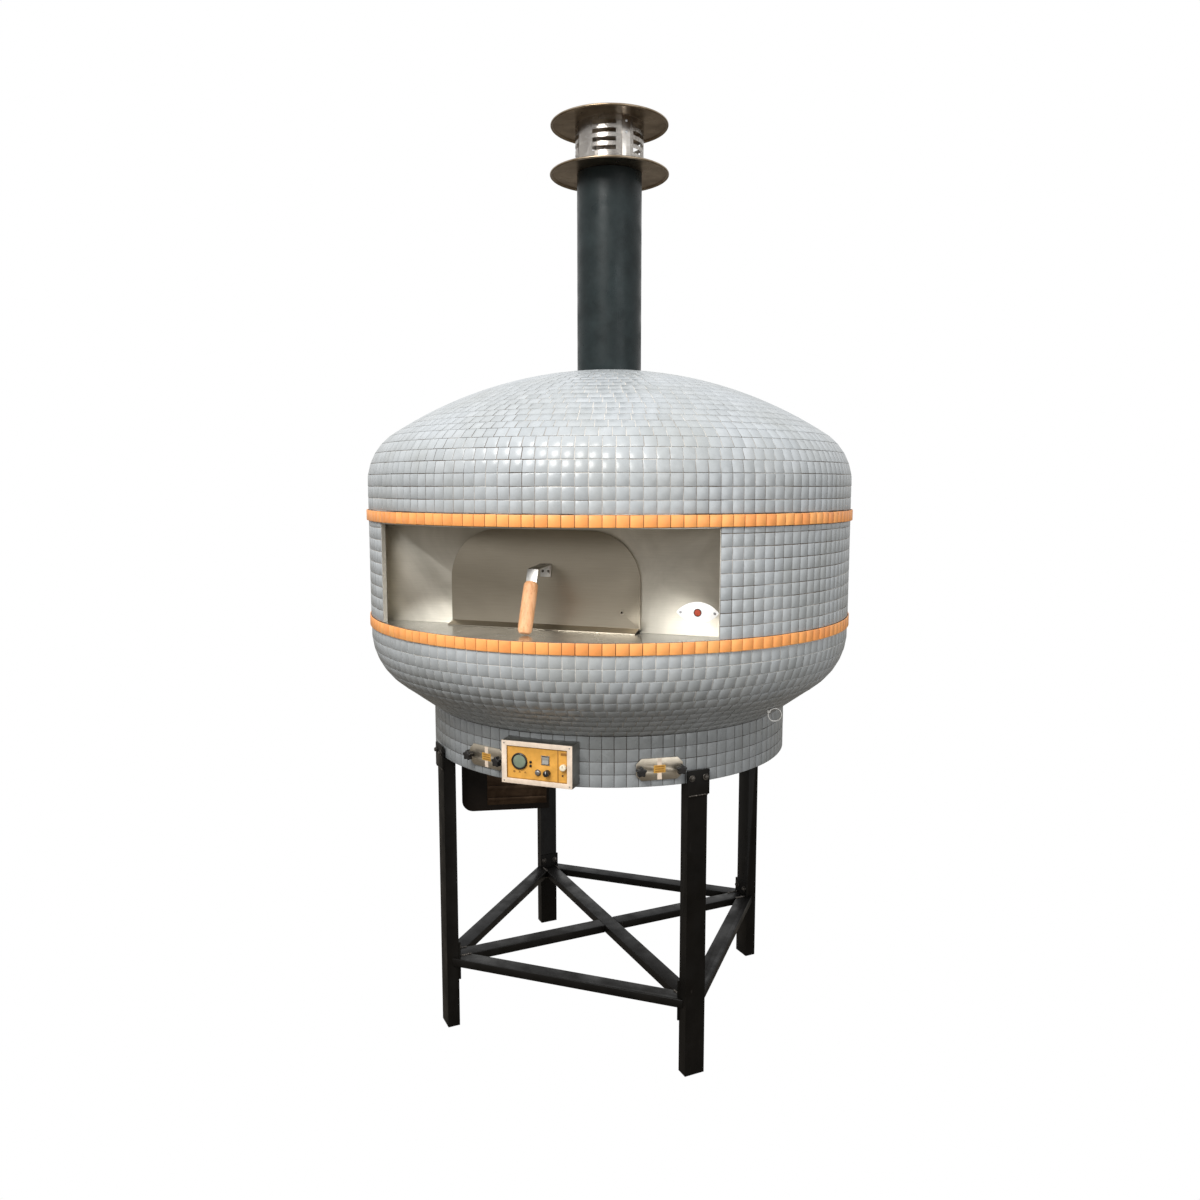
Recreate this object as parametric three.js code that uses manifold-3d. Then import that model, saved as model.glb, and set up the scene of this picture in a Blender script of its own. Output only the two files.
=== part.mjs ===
// A wood fired pizza oven: a tiled round body on a four-legged steel stand, with a turning
// hearth driven by a gearmotor, a lift-off door, a flue with a cap, and a control box.
// Millimetres. The origin is on the floor under the flue; the mouth faces -Y and Z is up.
import * as THREE from 'three';
import { mergeVertices } from 'three/addons/utils/BufferGeometryUtils.js';
import Module from 'manifold-3d';

const wasm = await Module();
wasm.setup();

// ---- Driving dimensions -------------------------------------------------------------------
const GAP = 0.3;                 // air between pieces that touch
const ROUND = 48;                // facets round the body shells
const UPPER_BAND_R = 605;
const LOWER_BAND_R = 603;
const BAND_H = 25;
const WALL_R = 600;              // outside of the upright wall
const SHELL = 12;                // steel shell with its tile bed
const UPPER_BAND_Z = 1261;       // underside of the upper band
const HEARTH_Z = 1031.5;         // cooking level, level with the top of the lower band
const CROWN_R = 975;             // the dome's crown is a sphere of this radius
const APEX_Z = 1628;
const SHOULDER_R = 140;
const BOWL_WALL_R = 599;
const BOWL_ARC_R = 150;
const BOWL_ARC_Z = 990;
const BOWL_ARC_END = 53.2 * Math.PI / 180;
const LEDGE_R = 570;             // inner edge of the bowl's rim, which carries the shelf
const SKIRT_R = 449;
const SKIRT_T = 20;
const SKIRT_BASE = 689;
const SKIRT_TOP = 803;
const LEG_CIRCLE_R = 440;
const LEG_W = 50;
const LEG_D = 30;
const TUBE_WALL = 3;
const RAIL_W = 40;
const RAIL_H = 20;
const RAIL_Z = 159;              // underside of the lower frame
const MOUTH_LEFT = -385;         // edges of the opening cut in the wall
const MOUTH_RIGHT = 395;
const PLATE_Y = -412;            // front of the mouth plate
const SHEET = 3;
const VAULT_FRONT_Y = -406;
const DOOR_X = -8;               // the door stands a little left of the middle
const DOOR_W = 448;
const DOOR_H = 215.5;
const DOOR_CORNER = 112;
const ARCH_W = 420;
const ARCH_H = 203;
const ARCH_CORNER = 103;
const DECK_Z = 930;
const DECK_T = 8;
const FLOOR_T = 6;               // base floor inside the skirt
const CORE_R = 445;              // outside of the refractory vault
const OVEN_R = 375;
const STONE_R = 366;
const STONE_T = 40;
const VAULT_TOP = 1435;
const PIPE_R = 80;
const PIPE_WALL = 4;
const CAP_Z = 2103;              // underside of the lower cap disc
const CAP_RING_H = 112;
const GEAR_MODULE = 12;
const GEAR_TEETH = 36;
const PINION_TEETH = 12;
const GEAR_Z = 745;
const GEAR_H = 20;
const DRIVE_AZIMUTH = -62 * Math.PI / 180;
const SHAFT_R = 20;
const CONTROL = { x: 4, z: 744, width: 166, height: 95, front: -484 };
const COVERS = [
  { side: 'left', azimuth: -18.5, z: 732 },
  { side: 'right', azimuth: 33.5, z: 729 },
];
const KNOB_SPACING = 45.5;       // from a cover's middle to each star knob

// ---- Finishes -----------------------------------------------------------------------------
const finish = (colour, roughness, metalness) =>
  new THREE.MeshStandardMaterial({ color: colour, roughness, metalness });
const TILE = finish(0xaeb6ba, 0.25, 0);
const ORANGE = finish(0xffa45a, 0.25, 0);
const STEEL = finish(0xa09a8c, 0.35, 1);
const STAINLESS = finish(0xb4aca2, 0.25, 1);
const BLACK_PAINT = finish(0x24211f, 0.6, 0.3);
const PIPE_BLACK = finish(0x2c3235, 0.7, 0.4);
const WOOD = finish(0xe0a877, 0.6, 0);
const REFRACTORY = finish(0xc9b79a, 0.9, 0);
const WOOL = finish(0xe8e4d8, 1, 0);
const MACHINED = finish(0x8b8d90, 0.35, 1);
const BLACK_PLASTIC = finish(0x141414, 0.45, 0);
const FACE_ORANGE = finish(0xe1a546, 0.5, 0);
const CREAM = finish(0xe9dcc6, 0.5, 0);
const GLASS = finish(0x8fa58c, 0.1, 0);
const COVER_STEEL = finish(0xc9bda2, 0.4, 0.6);
const WHITE = finish(0xf4f4f2, 0.35, 0);

const oven = new THREE.Group();

// ---- Shape helpers ------------------------------------------------------------------------
// Welds a geometry's shared corners, drops faces of no area and turns the faces outwards.
function weld(geometry) {
  geometry.deleteAttribute('normal');
  geometry.deleteAttribute('uv');
  const merged = mergeVertices(geometry, 1e-3);
  const old = merged.index.array;
  const points = merged.attributes.position;
  const kept = [];
  let volume = 0;
  const corner = [new THREE.Vector3(), new THREE.Vector3(), new THREE.Vector3()];
  for (let i = 0; i < old.length; i += 3) {
    const [a, b, c] = [old[i], old[i + 1], old[i + 2]];
    if (a === b || b === c || a === c) continue;
    kept.push(a, b, c);
    [a, b, c].forEach((v, k) => corner[k].fromBufferAttribute(points, v));
    volume += corner[0].dot(corner[1].cross(corner[2]));
  }
  if (volume < 0) kept.reverse();
  const out = new THREE.BufferGeometry();
  out.setAttribute('position', points);
  out.setIndex(kept);
  return out;
}

function toSolid(geometry) {
  const welded = weld(geometry.clone());
  return new wasm.Manifold(new wasm.Mesh({
    numProp: 3,
    vertProperties: new Float32Array(welded.attributes.position.array),
    triVerts: new Uint32Array(welded.index.array),
  }));
}

function toGeometry(solid) {
  const mesh = solid.getMesh();
  const geometry = new THREE.BufferGeometry();
  geometry.setAttribute('position', new THREE.BufferAttribute(mesh.vertProperties, 3));
  geometry.setIndex(new THREE.BufferAttribute(mesh.triVerts, 1));
  return geometry;
}

function cut(geometry, ...cutters) {
  let solid = toSolid(geometry);
  for (const cutter of cutters) solid = solid.subtract(toSolid(cutter));
  return toGeometry(solid);
}

function join(geometry, ...others) {
  let solid = toSolid(geometry);
  for (const other of others) solid = solid.add(toSolid(other));
  return toGeometry(solid);
}

function keepInside(geometry, limit) {
  return toGeometry(toSolid(geometry).intersect(toSolid(limit)));
}

// Turns a closed profile of [radius, z] points about the Z axis.
function revolve(profile, segments = ROUND) {
  const points = profile.map(([r, z]) => new THREE.Vector2(r, z));
  const first = points[0];
  const last = points[points.length - 1];
  if (first.x > 0 || last.x > 0) points.push(first.clone());
  const geometry = new THREE.LatheGeometry(points, segments);
  geometry.rotateX(Math.PI / 2);
  return weld(geometry);
}

// A ring with an upright rectangular section.
const ring = (inner, outer, bottom, top, segments = ROUND) =>
  revolve([[inner, bottom], [outer, bottom], [outer, top], [inner, top]], segments);

const disc = (radius, bottom, top, segments = ROUND) =>
  revolve([[0, bottom], [radius, bottom], [radius, top], [0, top]], segments);

// A box from its lowest and highest corners.
function block([x0, y0, z0], [x1, y1, z1]) {
  const geometry = new THREE.BoxGeometry(x1 - x0, y1 - y0, z1 - z0);
  geometry.translate((x0 + x1) / 2, (y0 + y1) / 2, (z0 + z1) / 2);
  return geometry;
}

// A shape drawn in X and Z, run along Y from y0 to y1.
function runAlongY(shape, y0, y1, curveSegments = 8) {
  const geometry = new THREE.ExtrudeGeometry(shape, {
    depth: y1 - y0, bevelEnabled: false, curveSegments,
  });
  geometry.rotateX(Math.PI / 2);
  geometry.translate(0, y1, 0);
  return geometry;
}

// A shape drawn in X and Y, run upwards from z0 to z1.
function runAlongZ(shape, z0, z1, curveSegments = 8) {
  const geometry = new THREE.ExtrudeGeometry(shape, {
    depth: z1 - z0, bevelEnabled: false, curveSegments,
  });
  geometry.translate(0, 0, z0);
  return geometry;
}

// A round bar along Y.
function barAlongY(x, z, radius, y0, y1, segments = 24) {
  const geometry = new THREE.CylinderGeometry(radius, radius, y1 - y0, segments);
  geometry.translate(x, (y0 + y1) / 2, z);
  return geometry;
}

function outline(points) {
  const shape = new THREE.Shape();
  points.forEach(([x, y], i) => (i ? shape.lineTo(x, y) : shape.moveTo(x, y)));
  shape.closePath();
  return shape;
}

// An upright arch: square feet at z = base, round corners at the top.
function archShape(width, base, height, corner) {
  const half = width / 2;
  const top = base + height;
  const shape = new THREE.Shape();
  shape.moveTo(-half, base);
  shape.lineTo(half, base);
  shape.lineTo(half, top - corner);
  shape.absarc(half - corner, top - corner, corner, 0, Math.PI / 2, false);
  shape.lineTo(corner - half, top);
  shape.absarc(corner - half, top - corner, corner, Math.PI / 2, Math.PI, false);
  shape.closePath();
  return shape;
}

function add(name, geometry, material, turn = 0) {
  const mesh = new THREE.Mesh(geometry, material);
  mesh.name = name;
  mesh.rotation.z = turn;
  oven.add(mesh);
  return mesh;
}

// ---- Stand --------------------------------------------------------------------------------
const CORNERS = [
  { name: 'front_right', turn: Math.PI / 4 },
  { name: 'back_right', turn: 3 * Math.PI / 4 },
  { name: 'back_left', turn: -3 * Math.PI / 4 },
  { name: 'front_left', turn: -Math.PI / 4 },
];
const EAR = { width: 56, thick: 4, bottom: 662, top: 719 };
const CORNER_PLATE = { width: 56, thick: 4, bottom: 122, top: 218 };
const FOOT_T = 4;                // plate that closes the foot of a leg
const LEG_TOP = SKIRT_BASE - GAP;

// The leg stands on the -Y side of the axis and is turned to its corner afterwards.
function legGeometry() {
  const inner = -LEG_CIRCLE_R + LEG_D / 2;
  const outer = -LEG_CIRCLE_R - LEG_D / 2;
  const half = LEG_W / 2;
  const overlap = 0.5;
  const tube = cut(
    block([-half, outer, 0], [half, inner, LEG_TOP]),
    block([-half + TUBE_WALL, outer + TUBE_WALL, FOOT_T],
      [half - TUBE_WALL, inner - TUBE_WALL, LEG_TOP + 1]),
  );
  const ear = block([-EAR.width / 2, outer - EAR.thick, EAR.bottom],
    [EAR.width / 2, outer + overlap, EAR.top]);
  const plate = block([-CORNER_PLATE.width / 2, inner - overlap, CORNER_PLATE.bottom],
    [CORNER_PLATE.width / 2, inner + CORNER_PLATE.thick, CORNER_PLATE.top]);
  return join(tube, cut(ear, block([-half, outer, LEG_TOP], [half, inner, EAR.top + 1])), plate);
}

// Solid envelopes of a leg and its corner plate, grown by the gap, that trim the lower frame.
function legTrimmers(turn) {
  const reach = LEG_W / 2 + GAP;
  const outer = -LEG_CIRCLE_R - LEG_D / 2 - GAP;
  const inner = -LEG_CIRCLE_R + LEG_D / 2 + GAP;
  const plateInner = inner + CORNER_PLATE.thick;
  const plateReach = CORNER_PLATE.width / 2 + GAP;
  return [
    block([-reach, outer, 0], [reach, inner, LEG_TOP]).rotateZ(turn),
    block([-plateReach, inner - 1, 0], [plateReach, plateInner, LEG_TOP]).rotateZ(turn),
  ];
}

function addStand() {
  const leg = legGeometry();
  for (const { name, turn } of CORNERS) add(`leg_${name}`, leg, BLACK_PAINT, turn);

  const trimmers = CORNERS.flatMap(({ turn }) => legTrimmers(turn));
  const halfW = RAIL_W / 2;
  const top = RAIL_Z + RAIL_H;
  const bar = (length, turn) =>
    block([-length, -halfW, RAIL_Z], [length, halfW, top]).rotateZ(turn);
  const wideBar = (length, turn) =>
    block([-length, -halfW - GAP, RAIL_Z - 1], [length, halfW + GAP, top + 1]).rotateZ(turn);

  // One diagonal runs through, from back left to front right; the other is in two halves.
  const through = -Math.PI / 4;
  const crossing = Math.PI / 4;
  add('brace_through', cut(bar(LEG_CIRCLE_R, through), ...trimmers), BLACK_PAINT);
  const half = cut(
    block([0, -halfW, RAIL_Z], [LEG_CIRCLE_R, halfW, top]).rotateZ(crossing),
    wideBar(LEG_CIRCLE_R, through), ...trimmers,
  );
  add('brace_half_back', half, BLACK_PAINT);
  add('brace_half_front', half, BLACK_PAINT, Math.PI);

  const legOffset = LEG_CIRCLE_R / Math.SQRT2;
  const rail = cut(
    block([-legOffset, -legOffset - halfW, RAIL_Z], [legOffset, -legOffset + halfW, top]),
    wideBar(LEG_CIRCLE_R + RAIL_W, through), wideBar(LEG_CIRCLE_R + RAIL_W, crossing), ...trimmers,
  );
  ['front', 'right', 'back', 'left'].forEach((side, i) =>
    add(`rail_${side}`, rail, BLACK_PAINT, i * Math.PI / 2));
}

// ---- Body shells --------------------------------------------------------------------------
// Outline of the bowl from its foot to its rim, set in by an offset.
function bowlOutline(offset) {
  const steps = 5;
  const centreR = BOWL_WALL_R - BOWL_ARC_R;
  const radius = BOWL_ARC_R - offset;
  const points = [];
  for (let i = steps; i >= 0; i -= 1) {
    const angle = BOWL_ARC_END * i / steps;
    points.push([centreR + radius * Math.cos(angle), BOWL_ARC_Z - radius * Math.sin(angle)]);
  }
  return points;
}

// Outline of the dome from its shoulder to the flue hole, set in by an offset.
function domeOutline(offset, holeR) {
  const shoulderSteps = 4;
  const crownSteps = 4;
  const centreR = WALL_R - SHOULDER_R;
  const crownZ = APEX_Z - CROWN_R;
  const shoulderZ = crownZ + Math.sqrt((CROWN_R - SHOULDER_R) ** 2 - centreR ** 2);
  const join = Math.atan2(shoulderZ - crownZ, centreR);
  const points = [];
  for (let i = 0; i <= shoulderSteps; i += 1) {
    const angle = join * i / shoulderSteps;
    const radius = SHOULDER_R - offset;
    points.push([centreR + radius * Math.cos(angle), shoulderZ + radius * Math.sin(angle)]);
  }
  const end = Math.acos(holeR / (CROWN_R - offset));
  for (let i = 1; i <= crownSteps; i += 1) {
    const angle = join + (end - join) * i / crownSteps;
    const radius = CROWN_R - offset;
    points.push([radius * Math.cos(angle), crownZ + radius * Math.sin(angle)]);
  }
  return points;
}

function addShells() {
  const bandTop = UPPER_BAND_Z + BAND_H;
  const innerR = WALL_R - SHELL;
  const rimZ = HEARTH_Z - BAND_H - GAP;
  const ledgeH = 5;
  const pinionHoleR = 16;

  add('base_floor', cut(
    disc(SKIRT_R - SKIRT_T - GAP, SKIRT_BASE, SKIRT_BASE + FLOOR_T, ROUND),
    drivePlaced(disc(pinionHoleR, SKIRT_BASE - 1, SKIRT_BASE + FLOOR_T + 1, 20)),
  ), BLACK_PAINT);

  const ports = COVERS.map(({ azimuth, z }) => portCutter(z).rotateZ(azimuth * Math.PI / 180));
  const wiringHalf = { width: 30, height: 20 };
  const through = 10;
  const wiring = block(
    [CONTROL.x - wiringHalf.width, -SKIRT_R - through, CONTROL.z - wiringHalf.height],
    [CONTROL.x + wiringHalf.width, -SKIRT_R + SKIRT_T + through, CONTROL.z + wiringHalf.height],
  );
  add('skirt', cut(ring(SKIRT_R - SKIRT_T, SKIRT_R, SKIRT_BASE, SKIRT_TOP), ...ports, wiring), TILE);

  const footZ = SKIRT_TOP + GAP;
  const footR = SKIRT_R - SKIRT_T + 1;
  const footLip = 5;
  const bowl = [
    [footR, footZ], [SKIRT_R, footZ],
    ...bowlOutline(0),
    [BOWL_WALL_R, rimZ], [LEDGE_R, rimZ], [LEDGE_R, rimZ - ledgeH],
    [BOWL_WALL_R - SHELL, rimZ - ledgeH],
    ...bowlOutline(SHELL).reverse(),
    [footR, footZ + footLip],
  ];
  add('bowl_shell', revolve(bowl), TILE);
  add('lower_band', ring(innerR, LOWER_BAND_R, HEARTH_Z - BAND_H, HEARTH_Z), ORANGE);

  const wallBottom = HEARTH_Z + GAP;
  const recess = block([MOUTH_LEFT, -WALL_R - 1, wallBottom - 1],
    [MOUTH_RIGHT, -WALL_R / 2, UPPER_BAND_Z]);
  add('drum_wall', cut(ring(innerR, WALL_R, wallBottom, UPPER_BAND_Z - GAP), recess), TILE);
  add('upper_band', ring(innerR, UPPER_BAND_R, UPPER_BAND_Z, bandTop), ORANGE);

  const holeR = PIPE_R + 1;
  const dome = [
    [innerR, bandTop + GAP], [WALL_R, bandTop + GAP],
    ...domeOutline(0, holeR),
    ...domeOutline(SHELL, holeR).reverse(),
  ];
  add('dome_shell', revolve(dome), TILE);
}

// ---- Mouth --------------------------------------------------------------------------------
function addMouth() {
  const bottom = HEARTH_Z + GAP;
  const top = UPPER_BAND_Z - GAP;
  const shellInside = disc(WALL_R - SHELL - GAP, 0, APEX_Z);
  const face = keepInside(
    block([-WALL_R, PLATE_Y, bottom], [WALL_R, PLATE_Y + SHEET, top]),
    shellInside,
  );
  const soffit = keepInside(
    block([MOUTH_LEFT + GAP, -WALL_R, top - SHEET], [MOUTH_RIGHT - GAP, PLATE_Y + 1, top]),
    disc(WALL_R - GAP, 0, APEX_Z),
  );
  const arch = runAlongY(archShape(ARCH_W, bottom - 1, ARCH_H + 1, ARCH_CORNER),
    PLATE_Y - 1, PLATE_Y + SHEET + 1);
  add('front_plate', cut(join(face, soffit), arch), STEEL);

  const shelf = keepInside(
    shellInside,
    block([-WALL_R, -WALL_R, HEARTH_Z - BAND_H], [WALL_R, VAULT_FRONT_Y - GAP, HEARTH_Z]),
  );
  add('shelf', shelf, STEEL);
  addBadge();
}

// A pointed oval plate on the right of the mouth plate.
function addBadge() {
  const centre = { x: 340, z: 1081 };
  const half = { width: 45.5, height: 22.5 };
  const thick = 2;
  const shape = new THREE.Shape();
  shape.moveTo(centre.x - half.width, centre.z);
  shape.quadraticCurveTo(centre.x, centre.z - 2 * half.height, centre.x + half.width, centre.z);
  shape.quadraticCurveTo(centre.x, centre.z + 2 * half.height, centre.x - half.width, centre.z);
  add('badge', weld(runAlongY(shape, PLATE_Y - thick - GAP, PLATE_Y - GAP)), WHITE);
}

// ---- Door ---------------------------------------------------------------------------------
// The door's foot slopes forward from a fold above the shelf, and rests on its front edge.
function addDoor() {
  const bottom = HEARTH_Z + GAP;
  const back = PLATE_Y - GAP;
  const front = back - SHEET;
  const fold = 7.5;
  const footDepth = 28;
  const endInset = 3;
  const footT = 2.4;
  const arch = archShape(DOOR_W, bottom + fold, DOOR_H - fold, DOOR_CORNER);
  const panel = runAlongY(arch, front, back);
  const foot = new THREE.ExtrudeGeometry(outline(thickLine([
    new THREE.Vector2(back - SHEET / 2, bottom + fold + footT / 2),
    new THREE.Vector2(front - footDepth, bottom + footT / 2),
  ], footT)), { depth: DOOR_W - 2 * endInset, bevelEnabled: false });
  standUp(foot, DOOR_W / 2 - endInset);
  add('door_panel', join(panel, foot).translate(DOOR_X, 0, 0), STEEL);
  addHandle(front);
}

// A flat strap leaves its welded tab, reaches forward, and turns down into a wooden grip.
function addHandle(doorFront) {
  const strapHalfW = 12.5;
  const strapT = 3;
  const tab = { y: doorFront - strapT / 2 - GAP, bottom: 1146, top: 1173 };
  const knee = new THREE.Vector2(doorFront - 70, 1167);
  const lean = new THREE.Vector2(-0.345, -0.939).normalize();
  const along = (distance) => knee.clone().addScaledVector(lean, distance);
  const strapLine = [
    new THREE.Vector2(tab.y, tab.bottom), new THREE.Vector2(tab.y, tab.top), knee, along(86),
  ];
  const strap = new THREE.ExtrudeGeometry(outline(thickLine(strapLine, strapT)),
    { depth: 2 * strapHalfW, bevelEnabled: false });
  add('door_strap', weld(standUp(strap, strapHalfW)), STEEL);

  const grip = { radius: 15.5, length: 110, start: 28 };
  const tang = thickLine([along(grip.start - 5), along(88)], strapT + 2 * GAP);
  const slot = new THREE.ExtrudeGeometry(outline(tang),
    { depth: 2 * strapHalfW + 2 * GAP, bevelEnabled: false });
  const bar = new THREE.CylinderGeometry(grip.radius, grip.radius, grip.length, 20);
  bar.rotateX(Math.PI / 2 - Math.atan2(-lean.x, -lean.y));
  const middle = along(grip.start + grip.length / 2);
  bar.translate(0, middle.x, middle.y);
  add('door_grip', cut(bar, standUp(slot, strapHalfW + GAP)), WOOD);
}

// The outline of a bent strip of even thickness along a line of points.
function thickLine(points, thickness) {
  const left = [];
  const right = [];
  points.forEach((point, i) => {
    const before = points[Math.max(i - 1, 0)];
    const after = points[Math.min(i + 1, points.length - 1)];
    const into = point.clone().sub(before).normalize();
    const out = after.clone().sub(point).normalize();
    if (i === 0) into.copy(out);
    if (i === points.length - 1) out.copy(into);
    const mitre = into.clone().add(out).normalize();
    const normal = new THREE.Vector2(-mitre.y, mitre.x);
    const reach = thickness / 2 / Math.max(mitre.dot(into), 0.4);
    left.push([point.x + normal.x * reach, point.y + normal.y * reach]);
    right.unshift([point.x - normal.x * reach, point.y - normal.y * reach]);
  });
  return [...left, ...right];
}

// Turns a strip drawn in (y, z) and run along its own third axis so that it runs along X.
function standUp(geometry, halfWidth) {
  geometry.translate(0, 0, -halfWidth);
  geometry.applyMatrix4(new THREE.Matrix4().set(0, 0, 1, 0, 1, 0, 0, 0, 0, 1, 0, 0, 0, 0, 0, 1));
  return geometry;
}

// ---- Refractory core ----------------------------------------------------------------------
function ellipseOutline(radius, springZ, rise, endR, steps) {
  const points = [];
  const end = Math.acos(endR / radius);
  for (let i = 0; i <= steps; i += 1) {
    const angle = end * i / steps;
    points.push([radius * Math.cos(angle), springZ + rise * Math.sin(angle)]);
  }
  return points;
}

function addCore() {
  const deckTop = DECK_Z + DECK_T;
  const frontCut = block([-WALL_R, -WALL_R, 0], [WALL_R, VAULT_FRONT_Y, APEX_Z]);
  const passage = runAlongY(archShape(ARCH_W, HEARTH_Z - 1, ARCH_H + 1, ARCH_CORNER),
    -WALL_R, -250);
  const throatR = 76;
  const bossR = 110;
  const deckHoleR = 60;
  const deckR = 572;

  add('deck_plate', ring(deckHoleR, deckR, DECK_Z, deckTop), BLACK_PAINT);
  add('hearth_ring', cut(ring(STONE_R + 6, CORE_R, deckTop + GAP, HEARTH_Z), frontCut.clone()),
    REFRACTORY);

  const vaultBottom = HEARTH_Z + GAP;
  const outerSpring = 1180;
  const innerSpring = 1150;
  const innerRise = 222;
  const outer = ellipseOutline(CORE_R, outerSpring, VAULT_TOP - outerSpring, bossR, 5);
  const inner = ellipseOutline(OVEN_R, innerSpring, innerRise, throatR, 5);
  const vault = [
    [OVEN_R, vaultBottom], [CORE_R, vaultBottom],
    ...outer, [bossR - 2, VAULT_TOP], [throatR, VAULT_TOP], ...inner.reverse(),
  ];
  add('vault', cut(revolve(vault, 40), frontCut.clone(), passage.clone()), REFRACTORY);

  const woolGap = 4;
  const offset = SHELL + woolGap;
  const innerR = CORE_R + 9;
  const wool = [
    [innerR, deckTop + 1], [LEDGE_R - woolGap, deckTop + 1], [LEDGE_R - woolGap, HEARTH_Z],
    [WALL_R - offset, HEARTH_Z + 10],
    ...domeOutline(offset, bossR + 2),
    ...ellipseOutline(innerR, outerSpring, VAULT_TOP + 10 - outerSpring, bossR + 2, 4).reverse(),
  ];
  add('insulation', cut(revolve(wool, ROUND / 2), frontCut.clone(), passage), WOOL);
}

// ---- Turning hearth and its drive ---------------------------------------------------------
const GEAR_R = GEAR_MODULE * GEAR_TEETH / 2;
const PINION_R = GEAR_MODULE * PINION_TEETH / 2;
const DRIVE_R = GEAR_R + PINION_R;

// Moves a solid from the Z axis to the gearmotor's axis.
function drivePlaced(geometry) {
  return geometry.translate(DRIVE_R * Math.sin(DRIVE_AZIMUTH), -DRIVE_R * Math.cos(DRIVE_AZIMUTH), 0);
}

// Involute teeth at a 20 degree pressure angle, thinned for running clearance.
function gearShape(teeth, addendum, turn) {
  const pitchR = GEAR_MODULE * teeth / 2;
  const baseR = pitchR * Math.cos(Math.PI / 9);
  const rootR = pitchR - 1.25 * GEAR_MODULE;
  const tipR = pitchR + addendum * GEAR_MODULE;
  const slack = 1.0;
  const involute = (r) => {
    const angle = Math.acos(Math.min(baseR / r, 1));
    return Math.tan(angle) - angle;
  };
  const halfAngle = (r) => Math.PI / (2 * teeth) - slack / (2 * pitchR)
    + involute(pitchR) - involute(Math.max(r, baseR));
  const radii = [rootR, (rootR + pitchR) / 2, tipR];
  const points = [];
  for (let tooth = 0; tooth < teeth; tooth += 1) {
    const middle = turn + 2 * Math.PI * tooth / teeth;
    for (const r of radii) points.push([r, middle - halfAngle(r)]);
    for (const r of [...radii].reverse()) points.push([r, middle + halfAngle(r)]);
  }
  return outline(points.map(([r, a]) => [r * Math.cos(a), r * Math.sin(a)]));
}

function addHearthDrive() {
  const carrierTop = HEARTH_Z - STONE_T - GAP;
  const carrier = { radius: 350, thick: 10 };
  const flange = { radius: 60, thick: 10, top: carrierTop - carrier.thick - GAP };
  add('hearth_stone', disc(STONE_R, HEARTH_Z - STONE_T, HEARTH_Z), REFRACTORY);
  add('hearth_carrier', disc(carrier.radius, carrierTop - carrier.thick, carrierTop), MACHINED);

  const boreR = SHAFT_R + 0.8;
  const plateT = 6;
  const bearing = { foot: SKIRT_BASE + FLOOR_T + GAP, radius: 55, topRadius: 50, height: 28 };
  const shaftFoot = bearing.foot + plateT + GAP;
  add('drive_shaft', revolve([
    [0, shaftFoot], [SHAFT_R, shaftFoot], [SHAFT_R, flange.top - flange.thick],
    [flange.radius, flange.top - flange.thick], [flange.radius, flange.top], [0, flange.top],
  ], 24), MACHINED);
  add('thrust_bearing', revolve([
    [0, bearing.foot], [bearing.radius, bearing.foot],
    [bearing.topRadius, bearing.foot + bearing.height], [boreR, bearing.foot + bearing.height],
    [boreR, bearing.foot + plateT], [0, bearing.foot + plateT],
  ], 24), MACHINED);
  addDeckBearing(boreR);
  addGears();
}

// A flanged sleeve that rests on the deck and keeps the shaft upright.
function addDeckBearing(boreR) {
  const seat = DECK_Z + DECK_T + GAP;
  const sleeve = { radius: 45, below: 25, above: 24 };
  const rim = { radius: 90, thick: 8 };
  add('bearing_housing', revolve([
    [boreR, DECK_Z - sleeve.below], [sleeve.radius, DECK_Z - sleeve.below],
    [sleeve.radius, seat], [rim.radius, seat], [rim.radius, seat + rim.thick],
    [sleeve.radius, seat + rim.thick], [sleeve.radius, seat + sleeve.above],
    [boreR, seat + sleeve.above],
  ], 24), MACHINED);
}

function addGears() {
  const top = GEAR_Z + GEAR_H;
  const meshAngle = Math.atan2(-Math.cos(DRIVE_AZIMUTH), Math.sin(DRIVE_AZIMUTH));
  const hole = { count: 5, radius: 48, circleR: 140 };
  const holes = [];
  for (let i = 0; i < hole.count; i += 1) {
    const angle = 2 * Math.PI * i / hole.count;
    holes.push(disc(hole.radius, GEAR_Z - 1, top + 1, 16)
      .translate(hole.circleR * Math.cos(angle), hole.circleR * Math.sin(angle), 0));
  }
  const bore = disc(SHAFT_R + GAP, GEAR_Z - 1, top + 1, 24);
  const gear = runAlongZ(gearShape(GEAR_TEETH, 0.8, meshAngle), GEAR_Z, top);
  add('drive_gear', cut(gear, ...holes, bore), MACHINED);

  const shaft = { radius: 12, foot: 660 };
  const extraFace = 5;
  const between = Math.PI + meshAngle + Math.PI / PINION_TEETH;
  const pinion = join(
    runAlongZ(gearShape(PINION_TEETH, 0.9, between), GEAR_Z - extraFace, top + extraFace),
    disc(shaft.radius, shaft.foot, top, 16),
  );
  add('pinion', weld(drivePlaced(pinion)), MACHINED);
  addGearmotor(shaft);
}

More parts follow.
